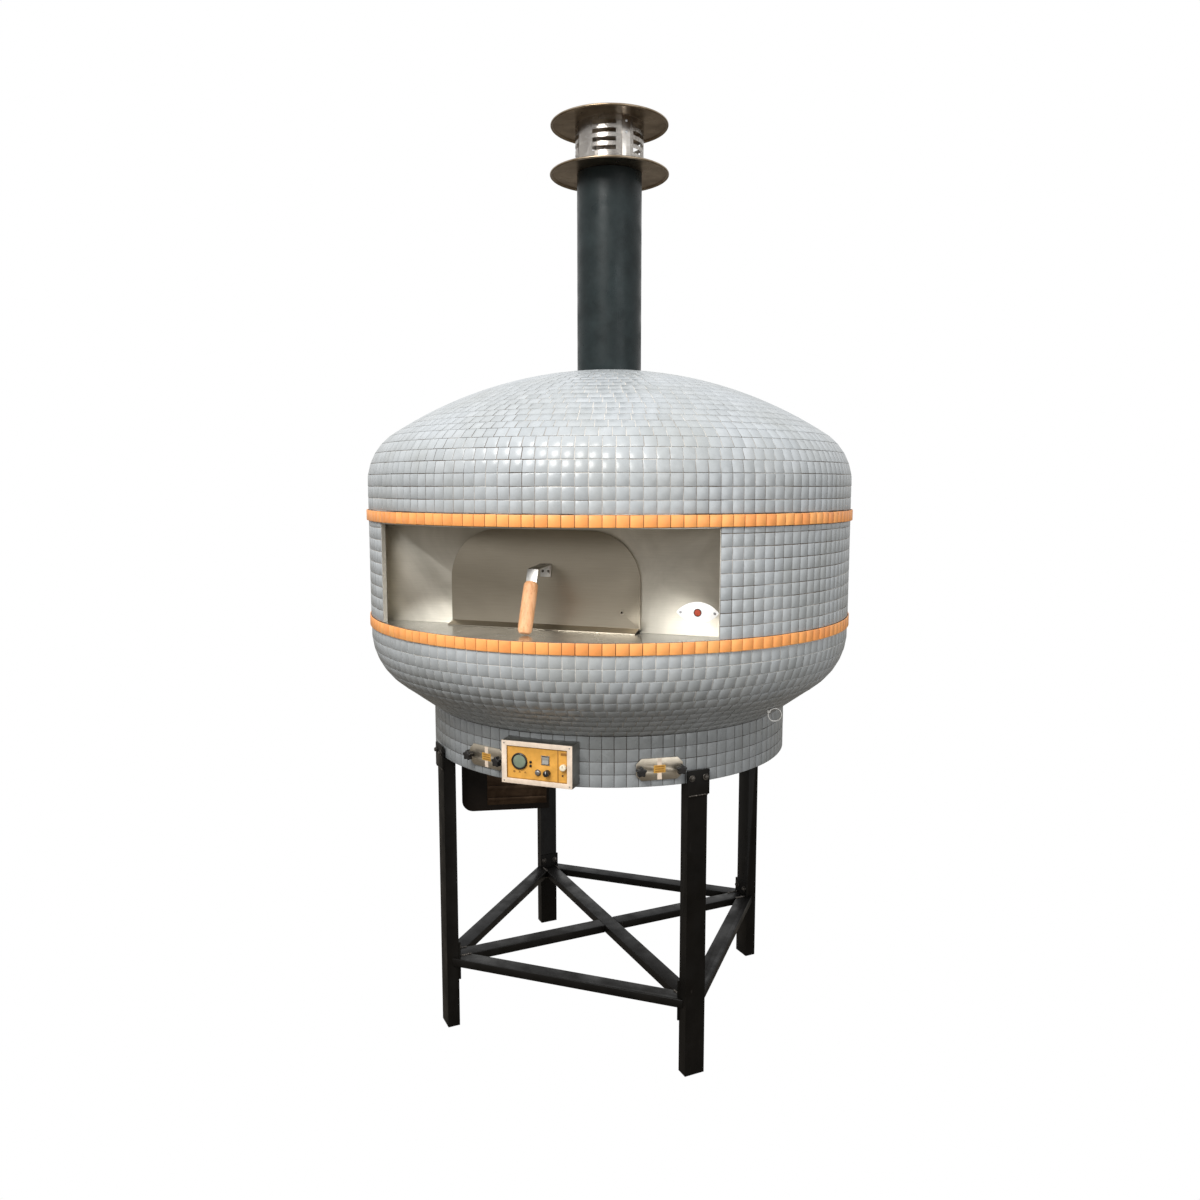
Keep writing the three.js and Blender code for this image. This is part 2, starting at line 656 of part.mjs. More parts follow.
// The gearmotor hangs under the base floor, inside a sheet box set along its radius.
function addGearmotor(shaft) {
  const top = SKIRT_BASE - GAP;
  const gearbox = { halfX: 38, halfY: 45, bottom: 628 };
  const motor = { radius: 36, bottom: 550 };
  const body = block([-gearbox.halfX, -gearbox.halfY, gearbox.bottom],
    [gearbox.halfX, gearbox.halfY, top]);
  const can = disc(motor.radius, motor.bottom, gearbox.bottom + 2, 20);
  const socket = disc(shaft.radius + 2 * GAP, shaft.foot - 4, top + 1, 16);
  const gearmotor = cut(join(body, can), socket).rotateZ(DRIVE_AZIMUTH);
  add('gearmotor', weld(drivePlaced(gearmotor)), BLACK_PAINT);

  add('drive_box', cut(driveBoxSolid(0, top), driveBoxSolid(2, top + 1)), BLACK_PAINT,
    DRIVE_AZIMUTH);
}

// The drive box drawn on the -Y side, with a round outer corner at its foot.
function driveBoxSolid(inset, top) {
  const halfX = 75 - inset;
  const near = -165 - inset;
  const far = -385 + inset;
  const bottom = 526 + inset;
  const corner = 28 - inset;
  const side = new THREE.Shape();
  side.moveTo(near, top);
  side.lineTo(far, top);
  side.absarc(far + corner, bottom + corner, corner, Math.PI, 1.5 * Math.PI, false);
  side.lineTo(near, bottom);
  side.closePath();
  const geometry = new THREE.ExtrudeGeometry(side,
    { depth: 2 * halfX, bevelEnabled: false, curveSegments: 5 });
  return standUp(geometry, halfX);
}

// ---- Flue and cap -------------------------------------------------------------------------
function addFlue() {
  const discT = 3;
  const discR = 147;
  const lipH = 6;
  const lipT = 2;
  const spigotR = PIPE_R - PIPE_WALL - 1;
  const spigotT = 3;
  const spigotFoot = CAP_Z - 40;
  add('flue_pipe', ring(PIPE_R - PIPE_WALL, PIPE_R, VAULT_TOP + GAP, CAP_Z - GAP, 32), PIPE_BLACK);

  add('cap_lower_disc', revolve([
    [spigotR - spigotT, spigotFoot], [spigotR, spigotFoot], [spigotR, CAP_Z],
    [discR - lipT, CAP_Z], [discR - lipT, CAP_Z - lipH], [discR, CAP_Z - lipH],
    [discR, CAP_Z + discT], [spigotR - spigotT, CAP_Z + discT],
  ]), STAINLESS);

  const ringFoot = CAP_Z + discT + GAP;
  const ringTop = ringFoot + CAP_RING_H;
  const ringShape = ring(PIPE_R + 1, PIPE_R + 4, ringFoot, ringTop, 45);
  add('cap_ring', cut(ringShape, ...slotCutters(ringFoot)), STAINLESS);

  const lidBottom = ringTop + GAP;
  const lidR = discR - 2;
  add('cap_top_disc', revolve([
    [0, lidBottom], [lidR - lipT, lidBottom], [lidR - lipT, lidBottom - lipH],
    [lidR, lidBottom - lipH], [lidR, lidBottom + discT], [0, lidBottom + discT],
  ]), STAINLESS);
}

// Five columns of four slots; a facet of the ring is 8 degrees, a slot is five facets wide.
function slotCutters(ringFoot) {
  const columns = 5;
  const rows = 4;
  const slotH = 10;
  const rowPitch = 19.8;
  const firstRow = 36.5;
  const slotWide = 40 * Math.PI / 180;
  const firstColumn = 10 * Math.PI / 180;
  const cutters = [];
  for (let column = 0; column < columns; column += 1) {
    const middle = firstColumn + 2 * Math.PI * column / columns - Math.PI / 2;
    for (let row = 0; row < rows; row += 1) {
      const shape = new THREE.Shape();
      shape.absarc(0, 0, PIPE_R + 15, middle - slotWide / 2, middle + slotWide / 2, false);
      shape.absarc(0, 0, PIPE_R - 10, middle + slotWide / 2, middle - slotWide / 2, true);
      shape.closePath();
      const low = ringFoot + firstRow + rowPitch * row - slotH / 2;
      cutters.push(runAlongZ(shape, low, low + slotH, 3));
    }
  }
  return cutters;
}

// ---- Control box --------------------------------------------------------------------------
const FACE_FRONT = CONTROL.front + 2 + GAP;
const FACE_T = 3;
// Controls, placed from the middle of the box's face.
const DISPLAY = { x: -41, z: 3, radius: 18.5 };
const DISPLAY_BUTTONS = [{ name: 'upper', x: -15, z: 3 }, { name: 'lower', x: -15, z: -5.5 }];
const ROCKER = { x: 20, z: 10, width: 17, height: 19 };
const START = { x: 2, z: -19, radius: 5.5 };
const SPEED = { x: 25, z: -17, radius: 7 };
const LAMP_KNOB = { x: 62.5, z: -1, radius: 7 };

function addControls() {
  const { x, z, width, height, front } = CONTROL;
  const wall = 2;
  const frame = { side: 11, end: 12 };
  const body = block([x - width / 2, front, z - height / 2], [x + width / 2, -432, z + height / 2]);
  const hollow = block([x - width / 2 + wall, front + wall, z - height / 2 + wall],
    [x + width / 2 - wall, -400, z + height / 2 - wall]);
  const window = block([x - width / 2 + frame.end, front - 1, z - height / 2 + frame.side],
    [x + width / 2 - frame.end, front + wall + 1, z + height / 2 - frame.side]);
  const [coneR, coneZ] = bowlOutline(0)[0];
  const behind = revolve([
    [0, z - height], [SKIRT_R + GAP, z - height], [SKIRT_R + GAP, SKIRT_TOP - GAP],
    [coneR + GAP, coneZ - GAP], [0, coneZ],
  ]);
  add('control_box', cut(body, hollow, window, behind), STEEL);

  const holes = [
    ...DISPLAY_BUTTONS.map((b) => faceBar(b, 3.1, FACE_FRONT - 1, FACE_FRONT + FACE_T + 1, 12)),
    faceBar(START, START.radius + 0.4, FACE_FRONT - 1, FACE_FRONT + FACE_T + 1, 16),
    faceBar(SPEED, 3.4, FACE_FRONT - 1, FACE_FRONT + FACE_T + 1, 12),
    faceBar(LAMP_KNOB, 3.4, FACE_FRONT - 1, FACE_FRONT + FACE_T + 1, 12),
    faceBlock(ROCKER, ROCKER.width, ROCKER.height, FACE_FRONT - 1, FACE_FRONT + FACE_T + 1),
  ];
  const plate = block([x - width / 2 + 5, FACE_FRONT, z - height / 2 + 5],
    [x + width / 2 - 5, FACE_FRONT + FACE_T, z + height / 2 - 5]);
  add('control_face', cut(plate, ...holes), FACE_ORANGE);

  add('round_display', faceBar(DISPLAY, DISPLAY.radius, FACE_FRONT - 4, FACE_FRONT - GAP, 32), GLASS);
  for (const button of DISPLAY_BUTTONS) {
    add(`display_button_${button.name}`,
      faceBar(button, 2.7, FACE_FRONT - 2.5, FACE_FRONT + 8, 12), BLACK_PLASTIC);
  }
  add('start_button', faceBar(START, START.radius, FACE_FRONT - 5, FACE_FRONT + 10, 16), MACHINED);
  add('speed_knob', knobOnShaft(SPEED, 12), BLACK_PLASTIC);
  add('lamp_knob', knobOnShaft(LAMP_KNOB, 9), CREAM);
  addRocker();
}

function faceBar(place, radius, y0, y1, segments) {
  return barAlongY(CONTROL.x + place.x, CONTROL.z + place.z, radius, y0, y1, segments);
}

function faceBlock(place, width, height, y0, y1) {
  const x = CONTROL.x + place.x;
  const z = CONTROL.z + place.z;
  return block([x - width / 2, y0, z - height / 2], [x + width / 2, y1, z + height / 2]);
}

// A round knob standing off the face, with a pointer ridge, on a shaft through the face.
function knobOnShaft(place, depth) {
  const back = FACE_FRONT - 1;
  const knob = faceBar(place, place.radius, back - depth, back, 20);
  const shaft = faceBar(place, 3, back - 1, FACE_FRONT + 12, 12);
  const ridge = faceBlock({ x: place.x, z: place.z + place.radius * 0.45 }, 1.6,
    place.radius * 0.8, back - depth - 1, back - depth + 1);
  return join(knob, shaft, ridge);
}

// The rocker's face is two slopes that meet at its pivot line.
function addRocker() {
  const half = ROCKER.height / 2 - 1.5;
  const front = FACE_FRONT;
  const y = [front - 3.5, front - 1.2, front + 7];
  const side = outline([
    [y[0], half], [y[1], 0], [y[0], -half], [y[2], -half * 0.6], [y[2], half * 0.6],
  ]);
  const halfW = ROCKER.width / 2 - 1;
  const geometry = new THREE.ExtrudeGeometry(side, { depth: 2 * halfW, bevelEnabled: false });
  standUp(geometry, halfW);
  geometry.translate(CONTROL.x + ROCKER.x, 0, CONTROL.z + ROCKER.z);
  add('rocker_switch', weld(geometry), BLACK_PLASTIC);
}

// ---- Access covers ------------------------------------------------------------------------
const COVER = { width: 106, height: 49, thick: 3, chamfer: 12 };
const PORT = { halfW: 32, halfH: 14 };
const COVER_BACK = -SKIRT_R - 2 * GAP;
const STUD_R = 4;
// A threaded bush on the back of the flat plate, in the space that the round skirt leaves there.
const BUSH = { radius: 7, depth: 1.4 };

// The port behind a cover, drawn on the -Y side.
function portCutter(z) {
  return block([-PORT.halfW, -SKIRT_R - 5, z - PORT.halfH],
    [PORT.halfW, -SKIRT_R + SKIRT_T + 8, z + PORT.halfH]);
}

function addCovers() {
  for (const { side, azimuth, z } of COVERS) {
    const turn = azimuth * Math.PI / 180;
    add(`cover_${side}`, coverGeometry(z), COVER_STEEL, turn);
    for (const [end, x] of [['left', -KNOB_SPACING], ['right', KNOB_SPACING]]) {
      add(`star_knob_${side}_${end}`, starKnob(x, z), BLACK_PLASTIC, turn);
    }
  }
}

function coverGeometry(z) {
  const halfW = COVER.width / 2;
  const halfH = COVER.height / 2;
  const c = COVER.chamfer;
  const shape = outline([
    [-halfW + c, z - halfH], [halfW - c, z - halfH], [halfW, z - halfH + c], [halfW, z + halfH - c],
    [halfW - c, z + halfH], [-halfW + c, z + halfH], [-halfW, z + halfH - c], [-halfW, z - halfH + c],
  ]);
  const plate = runAlongY(shape, COVER_BACK - COVER.thick, COVER_BACK);
  const plug = block([-PORT.halfW + 2, COVER_BACK - 1, z - PORT.halfH + 2],
    [PORT.halfW - 2, COVER_BACK + 12, z + PORT.halfH - 2]);
  const bushBack = COVER_BACK + BUSH.depth;
  const bushes = [-1, 1].map((side) =>
    barAlongY(side * KNOB_SPACING, z, BUSH.radius, COVER_BACK - 1, bushBack, 16));
  const studHoles = [-1, 1].map((side) => barAlongY(side * KNOB_SPACING, z, STUD_R + 0.5,
    COVER_BACK - COVER.thick - 1, bushBack + 1, 12));
  return cut(join(plate, plug, ...bushes), ...studHoles);
}

// Five lobes on a neck, with the stud that screws into a bush of the cover.
function starKnob(x, z) {
  const lobes = 5;
  const steps = 20;
  const points = [];
  for (let i = 0; i < steps; i += 1) {
    const angle = 2 * Math.PI * i / steps;
    const radius = 10.2 + 1.8 * Math.cos(lobes * angle);
    points.push([x + radius * Math.sin(angle), z + radius * Math.cos(angle)]);
  }
  const plateFront = COVER_BACK - COVER.thick - GAP;
  const neck = barAlongY(x, z, 6, plateFront - 8, plateFront, 12);
  const star = runAlongY(outline(points), plateFront - 20, plateFront - 7);
  const stud = barAlongY(x, z, STUD_R, plateFront - 1, COVER_BACK + BUSH.depth, 12);
  return join(star, neck, stud);
}

// ---- Cable tie ----------------------------------------------------------------------------
function addTieLoop() {
  const azimuth = 67.2 * Math.PI / 180;
  const facing = 25 * Math.PI / 180;
  const centre = { radius: 507, z: 826.7 };
  const loop = new THREE.TorusGeometry(15, 1.8, 5, 14);
  loop.rotateX(Math.PI / 2);
  loop.rotateZ(facing);
  loop.translate(centre.radius * Math.sin(azimuth), -centre.radius * Math.cos(azimuth), centre.z);
  add('tie_loop', weld(loop), WHITE);
}

addStand();
addShells();
addMouth();
addDoor();
addCore();
addHearthDrive();
addFlue();
addControls();
addCovers();
addTieLoop();

export default oven;
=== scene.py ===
# The looks of a wood fired pizza oven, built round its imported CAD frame. Metres, floor at Z = 0.
import math
import random

import bmesh
import bpy
import numpy as np
from mathutils import Matrix, Vector


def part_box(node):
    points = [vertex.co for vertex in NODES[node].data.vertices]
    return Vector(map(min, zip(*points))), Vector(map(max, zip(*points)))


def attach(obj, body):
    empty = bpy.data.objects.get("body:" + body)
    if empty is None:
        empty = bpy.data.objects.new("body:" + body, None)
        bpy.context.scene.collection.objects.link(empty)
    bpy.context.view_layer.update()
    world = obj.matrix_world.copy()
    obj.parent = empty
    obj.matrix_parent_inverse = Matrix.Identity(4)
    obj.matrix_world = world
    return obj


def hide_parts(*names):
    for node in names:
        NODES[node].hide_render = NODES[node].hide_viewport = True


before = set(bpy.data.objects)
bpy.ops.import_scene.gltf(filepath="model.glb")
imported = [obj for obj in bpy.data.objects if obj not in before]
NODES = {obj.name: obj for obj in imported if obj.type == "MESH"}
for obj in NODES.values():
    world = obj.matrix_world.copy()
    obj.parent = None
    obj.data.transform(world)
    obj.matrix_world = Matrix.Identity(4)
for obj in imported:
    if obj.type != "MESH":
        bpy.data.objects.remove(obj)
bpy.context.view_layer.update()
TAU = 2 * math.pi


# ---- Dimensions, from the frame -----------------------------------------------------------
def low(node, axis):
    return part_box(node)[0][axis]


def high(node, axis):
    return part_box(node)[1][axis]


def middle(node):
    a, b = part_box(node)
    return (a + b) / 2


X, Y, Z = 0, 1, 2
UPPER_R = high("upper_band", X)
LOWER_R = high("lower_band", X)
WALL_R = high("drum_wall", X)
SHELL = 0.012
HEARTH_Z = high("lower_band", Z)
RIM_Z = low("lower_band", Z)
UPPER_Z = low("upper_band", Z)
UPPER_TOP = high("upper_band", Z)
CROWN_R = 0.975
APEX_Z = 1.628
SHOULDER_R = 0.140
BOWL_R = high("bowl_shell", X)
BOWL_ARC_R = 0.150
BOWL_ARC_Z = 0.990
BOWL_ARC_END = math.radians(53.2)
SKIRT_R = high("skirt", X)
SKIRT_T = 0.020
SKIRT_BASE = low("skirt", Z)
SKIRT_TOP = high("skirt", Z)
PIPE_R = high("flue_pipe", X)
MOUTH_LEFT, MOUTH_RIGHT = -0.385, 0.395
PITCH = 0.027                   # 140 tiles go round a band
JOINT = 0.0014
TILE = PITCH - JOINT
GROUT_DEPTH = 0.0009
ROUND = 192                     # facets round the smooth shells
COVER_AZIMUTH = {"left": math.radians(-18.5), "right": math.radians(33.5)}
KNOB_SPACING = 0.0455
DRIVE_AZIMUTH = math.radians(-62)
LEG_TURN = {"front_right": 45, "back_right": 135, "back_left": -135, "front_left": -45}


# ---- Node material helpers ----------------------------------------------------------------
class Paint:
    """A material under construction: a Principled shader and short ways to feed it."""

    def __init__(self, name, colour, roughness, metallic=0.0, **sockets):
        self.material = bpy.data.materials.new(name)
        self.material.use_nodes = True
        self.tree = self.material.node_tree
        self.shader = self.tree.nodes["Principled BSDF"]
        self.shader.inputs["Base Color"].default_value = (*colour, 1)
        self.shader.inputs["Roughness"].default_value = roughness
        self.shader.inputs["Metallic"].default_value = metallic
        for socket, value in sockets.items():
            self.shader.inputs[socket.replace("_", " ")].default_value = value
        self.place = self.node("ShaderNodeTexCoord").outputs["Object"]

    def node(self, kind, **settings):
        made = self.tree.nodes.new(kind)
        for key, value in settings.items():
            setattr(made, key, value)
        return made

    def link(self, source, target):
        self.tree.links.new(source, target)

    def stretched(self, scale):
        mapping = self.node("ShaderNodeMapping")
        mapping.inputs["Scale"].default_value = scale
        self.link(self.place, mapping.inputs["Vector"])
        return mapping.outputs["Vector"]

    def noise(self, scale, detail=4.0, rough=0.55, stretch=None, distortion=0.0):
        made = self.node("ShaderNodeTexNoise")
        made.inputs["Scale"].default_value = scale
        made.inputs["Detail"].default_value = detail
        made.inputs["Roughness"].default_value = rough
        made.inputs["Distortion"].default_value = distortion
        vector = self.stretched(stretch) if stretch else self.place
        self.link(vector, made.inputs["Vector"])
        return made.outputs["Fac"]

    def ramp(self, source, *stops):
        """stops are (position, value or colour)."""
        made = self.node("ShaderNodeValToRGB")
        elements = made.color_ramp.elements
        while len(elements) < len(stops):
            elements.new(0.5)
        for element, (position, colour) in zip(elements, stops):
            element.position = position
            if isinstance(colour, (int, float)):
                colour = (colour, colour, colour)
            element.color = (*colour, 1)
        self.link(source, made.inputs["Fac"])
        return made.outputs["Color"]

    def mix(self, factor, a, b, blend="MIX"):
        made = self.node("ShaderNodeMix", data_type="RGBA", blend_type=blend)
        for socket, value in ((0, factor), (6, a), (7, b)):
            if isinstance(value, bpy.types.NodeSocket):
                self.link(value, made.inputs[socket])
            elif isinstance(value, (int, float)):
                made.inputs[socket].default_value = value
            else:
                made.inputs[socket].default_value = (*value, 1)
        return made.outputs[2]

    def math(self, operation, a, b=None):
        made = self.node("ShaderNodeMath", operation=operation)
        for socket, value in enumerate((a, b)):
            if value is None:
                continue
            if isinstance(value, bpy.types.NodeSocket):
                self.link(value, made.inputs[socket])
            else:
                made.inputs[socket].default_value = value
        return made.outputs[0]

    def attribute(self, name):
        return self.node("ShaderNodeAttribute", attribute_name=name).outputs["Fac"]

    def colour(self, source):
        self.link(source, self.shader.inputs["Base Color"])
        return self

    def roughness(self, source):
        self.link(source, self.shader.inputs["Roughness"])
        return self

    def bump(self, source, distance, strength=1.0):
        made = self.node("ShaderNodeBump")
        made.inputs["Strength"].default_value = strength
        made.inputs["Distance"].default_value = distance
        self.link(source, made.inputs["Height"])
        self.link(made.outputs["Normal"], self.shader.inputs["Normal"])
        return self


def glazed(name, shades, roughness=(0.24, 0.38), wave=0.05):
    """Glossy mosaic: each tile takes its own shade and the glaze is faintly wavy."""
    paint = Paint(name, shades[0], 0.3, Specular_IOR_Level=0.45)
    tone = paint.attribute("tone")
    count = len(shades) - 1
    base = paint.ramp(tone, *((i / count, shade) for i, shade in enumerate(shades)))
    cloud = paint.ramp(paint.noise(60, 3), (0.3, 0.94), (0.7, 1.04))
    dirt = paint.ramp(paint.noise(6, 6, 0.6), (0.35, (0.90, 0.89, 0.86)), (0.6, (1, 1, 1)))
    paint.colour(paint.mix(1.0, paint.mix(1.0, base, cloud, "MULTIPLY"), dirt, "MULTIPLY"))
    paint.roughness(paint.ramp(paint.noise(40, 4), (0.3, roughness[0]), (0.75, roughness[1])))
    paint.bump(paint.noise(45, 2), 0.0004, wave)
    return paint.material


def grout(name, dark, pale, share):
    """Cement joints, browner where they are stained. share is how much of them is stained."""
    paint = Paint(name, pale, 0.9)
    middle_tone = tuple((d + p) / 2 for d, p in zip(dark, pale))
    stain = paint.ramp(paint.noise(4.5, 5, 0.6), (share - 0.06, dark), (share, middle_tone), (share + 0.05, pale))
    sand = paint.ramp(paint.noise(900, 2), (0.3, 0.86), (0.7, 1.06))
    paint.colour(paint.mix(1.0, stain, sand, "MULTIPLY"))
    paint.bump(paint.noise(700, 3), 0.0004, 0.6)
    return paint.material


def sheet_steel(name, dark, light, rough=(0.22, 0.42), scale=5.0, grain=(3, 3, 160)):
    """Rolled stainless sheet: cloudy smears and fine rolling lines."""
    paint = Paint(name, light, rough[0], 1.0)
    smear = paint.ramp(paint.noise(scale, 5, 0.55, distortion=0.8), (0.3, dark), (0.7, light))
    line = paint.ramp(paint.noise(6, 5, 0.7, stretch=grain), (0.3, 0.92), (0.7, 1.05))
    paint.colour(paint.mix(1.0, smear, line, "MULTIPLY"))
    cloud = paint.noise(scale * 1.7, 6, 0.6, distortion=0.5)
    paint.roughness(paint.ramp(cloud, (0.25, rough[0]), (0.75, rough[1])))
    paint.bump(paint.noise(9, 4, 0.6, stretch=grain), 0.0002, 0.25)
    return paint.material


def brushed_paint(name, colour, worn, amount=0.62, roughness=0.5):
    """Thick paint put on by brush: streaks, dull patches, and chips down to the steel."""
    paint = Paint(name, colour, roughness, 0.0, Specular_IOR_Level=0.18)
    patch = paint.ramp(paint.noise(14, 6, 0.65), (0.35, tuple(0.75 * c for c in colour)),
                       (0.7, tuple(1.4 * c for c in colour)))
    chip = paint.ramp(paint.noise(26, 8, 0.72, stretch=(1, 1, 0.45)), (amount, 0.0), (amount + 0.04, 1.0))
    scratch = paint.ramp(paint.noise(60, 3, 0.5, stretch=(1, 1, 0.08)), (0.70, 0.0), (0.74, 0.55))
    wear = paint.math("MAXIMUM", chip, scratch)
    paint.colour(paint.mix(wear, patch, worn))
    paint.roughness(paint.ramp(paint.noise(18, 5), (0.3, roughness - 0.15), (0.7, roughness + 0.2)))
    streak = paint.noise(40, 4, 0.6, stretch=(1, 1, 0.15))
    paint.bump(paint.math("SUBTRACT", streak, wear), 0.0006, 0.5)
    return paint.material


def turned_wood():
    paint = Paint("grip_beech", (0.74, 0.40, 0.19), 0.5)
    ring = paint.noise(20, 5, 0.6, stretch=(6, 6, 0.8), distortion=0.6)
    base = paint.ramp(ring, (0.3, (0.56, 0.26, 0.11)), (0.5, (0.72, 0.37, 0.175)), (0.72, (0.80, 0.46, 0.25)))
    fleck = paint.ramp(paint.noise(90, 2, 0.5, stretch=(5, 5, 0.6)), (0.62, (1, 1, 1)), (0.7, (0.72, 0.6, 0.5)))
    paint.colour(paint.mix(1.0, base, fleck, "MULTIPLY"))
    paint.roughness(paint.ramp(ring, (0.3, 0.42), (0.7, 0.6)))
    paint.bump(paint.noise(70, 4, 0.6, stretch=(5, 5, 0.5)), 0.0004, 0.4)
    return paint.material


def moulded(name, colour, roughness=0.45, **sockets):
    paint = Paint(name, colour, roughness, **sockets)
    tint = paint.ramp(paint.noise(60, 4), (0.3, tuple(0.85 * c for c in colour)), (0.7, tuple(min(1.1 * c, 1) for c in colour)))
    paint.colour(tint)
    paint.roughness(paint.ramp(paint.noise(120, 3), (0.3, roughness - 0.08), (0.7, roughness + 0.08)))
    paint.bump(paint.noise(900, 2), 0.0001, 0.3)
    return paint.material


def cast_refractory():
    paint = Paint("refractory", (0.70, 0.60, 0.47), 0.92)
    soot = paint.ramp(paint.noise(5, 6, 0.65), (0.3, (0.30, 0.25, 0.20)), (0.6, (0.68, 0.58, 0.46)))
    speck = paint.ramp(paint.noise(320, 3), (0.35, 0.75), (0.6, 1.05))
    paint.colour(paint.mix(1.0, soot, speck, "MULTIPLY"))
    paint.bump(paint.noise(150, 6, 0.7), 0.0015, 0.6)
    return paint.material


BLUE_GREY = [(0.350, 0.372, 0.385), (0.378, 0.400, 0.415), (0.398, 0.421, 0.437), (0.425, 0.446, 0.462)]
AMBER = [(0.90, 0.335, 0.100), (0.95, 0.395, 0.120), (0.98, 0.450, 0.140)]

M = {
    "tile": glazed("blue_grey_glaze", BLUE_GREY),
    # The skirt's tiles are the same blue-grey glaze darkened to 0.72: painted shade for the bowl's shadow over the
    # skirt.
    "skirt_tile_painted_shade": glazed("skirt_painted_shade_glaze", [tuple(0.72 * c for c in shade) for shade in BLUE_GREY]),
    "band": glazed("orange_glaze", AMBER, (0.34, 0.5), 0.04),
    "grout": grout("pale_grout", (0.42, 0.37, 0.31), (0.74, 0.71, 0.66), 0.42),
    "grout_stained": grout("stained_grout", (0.12, 0.085, 0.06), (0.60, 0.57, 0.53), 0.50),
    "grout_dark": grout("dark_grout", (0.07, 0.06, 0.055), (0.17, 0.16, 0.15), 0.50),
    "grout_brown": grout("brown_grout", (0.10, 0.045, 0.02), (0.34, 0.17, 0.08), 0.50),
    "plate": sheet_steel("mouth_steel", (0.40, 0.372, 0.315), (0.66, 0.62, 0.54), (0.34, 0.52)),
    "door": sheet_steel("door_steel", (0.26, 0.228, 0.178), (0.40, 0.352, 0.278), (0.30, 0.44), 1.6, (2, 2, 90)),
    "shelf": sheet_steel("shelf_steel", (0.66, 0.67, 0.66), (0.90, 0.91, 0.91), (0.16, 0.30), 9, (3, 160, 3)),
    "strap": sheet_steel("strap_steel", (0.42, 0.41, 0.39), (0.66, 0.65, 0.62), (0.28, 0.42), 30),
    "box": sheet_steel("box_steel", (0.22, 0.215, 0.20), (0.36, 0.35, 0.32), (0.34, 0.5), 18),
    "cover": sheet_steel("cover_steel", (0.50, 0.44, 0.35), (0.72, 0.65, 0.54), (0.38, 0.52), 22),
    "cap": sheet_steel("cap_steel", (0.46, 0.42, 0.38), (0.74, 0.71, 0.67), (0.16, 0.32), 16, (3, 3, 90)),
    "disc": sheet_steel("disc_steel", (0.20, 0.145, 0.09), (0.42, 0.34, 0.25), (0.22, 0.4), 16),
    "jamb": moulded("jamb_steel", (0.62, 0.59, 0.52), 0.45),
    "pipe": brushed_paint("stove_paint", (0.014, 0.020, 0.021), (0.022, 0.028, 0.030), 0.80, 0.34),
    "black": brushed_paint("stand_paint", (0.0052, 0.0045, 0.0038), (0.026, 0.023, 0.020), 0.68, 0.40),
    "drive": brushed_paint("drive_paint", (0.010, 0.007, 0.005), (0.035, 0.022, 0.015), 0.66, 0.5),
    "bolt": sheet_steel("bolt_steel", (0.07, 0.065, 0.06), (0.22, 0.20, 0.18), (0.35, 0.55), 80),
    "weld": sheet_steel("weld_bead", (0.06, 0.055, 0.05), (0.20, 0.18, 0.16), (0.35, 0.6), 120),
    "rust": sheet_steel("heat_brown_steel", (0.05, 0.032, 0.022), (0.15, 0.10, 0.065), (0.4, 0.6), 20),
    "wood": turned_wood(),
    "refractory": cast_refractory(),
    "wool": moulded("ceramic_wool", (0.80, 0.78, 0.70), 0.95),
    "machined": sheet_steel("machined_steel", (0.35, 0.35, 0.36), (0.62, 0.62, 0.63), (0.25, 0.4), 12),
    "black_plastic": moulded("black_plastic", (0.014, 0.013, 0.013), 0.36),
    "grey_plastic": moulded("grey_plastic", (0.34, 0.33, 0.30), 0.4),
    "cream": moulded("cream_plastic", (0.80, 0.72, 0.55), 0.35, Coat_Weight=0.3),
    "frame": moulded("frame_enamel", (0.80, 0.66, 0.53), 0.4, Coat_Weight=0.2),
    "amber": moulded("amber_face", (0.72, 0.36, 0.065), 0.42),
    "amber_dark": moulded("amber_print", (0.34, 0.15, 0.025), 0.5),
    "yellow": moulded("yellow_label", (0.60, 0.33, 0.06), 0.45),
    "print": moulded("dark_print", (0.12, 0.06, 0.02), 0.5),
    "display": moulded("display_window", (0.20, 0.25, 0.185), 0.16, Coat_Weight=1.0),
    "white": moulded("white_enamel", (0.93, 0.93, 0.92), 0.4),
    "red": moulded("red_enamel", (0.40, 0.06, 0.03), 0.3, Coat_Weight=0.5),
    "tie": moulded("white_tie", (0.90, 0.89, 0.86), 0.4),
}


# ---- Mesh helpers -------------------------------------------------------------------------
def make(name, points, faces, material, body="oven", smooth=True, sharp=35):
    mesh = bpy.data.meshes.new(name)
    mesh.from_pydata([tuple(p) for p in points], [], [tuple(f) for f in faces])
    mesh.update()
    return dress(name, mesh, material, body, smooth, sharp)


def dress(name, mesh, material, body="oven", smooth=True, sharp=35):
    piece = bpy.data.objects.new(name, mesh)
    bpy.context.scene.collection.objects.link(piece)
    mesh.materials.clear()
    mesh.materials.append(material)
    if smooth:
        mesh.shade_smooth()
        mesh.set_sharp_from_angle(angle=math.radians(sharp))
    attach(piece, body)
    return piece


def from_bmesh(name, bm, material, body="oven", slot=None, smooth=True, sharp=35):
    mesh = bpy.data.meshes.new(name)
    bmesh.ops.recalc_face_normals(bm, faces=bm.faces)
    bm.to_mesh(mesh)
    bm.free()
    return dress(name, mesh, material, body, smooth, sharp)


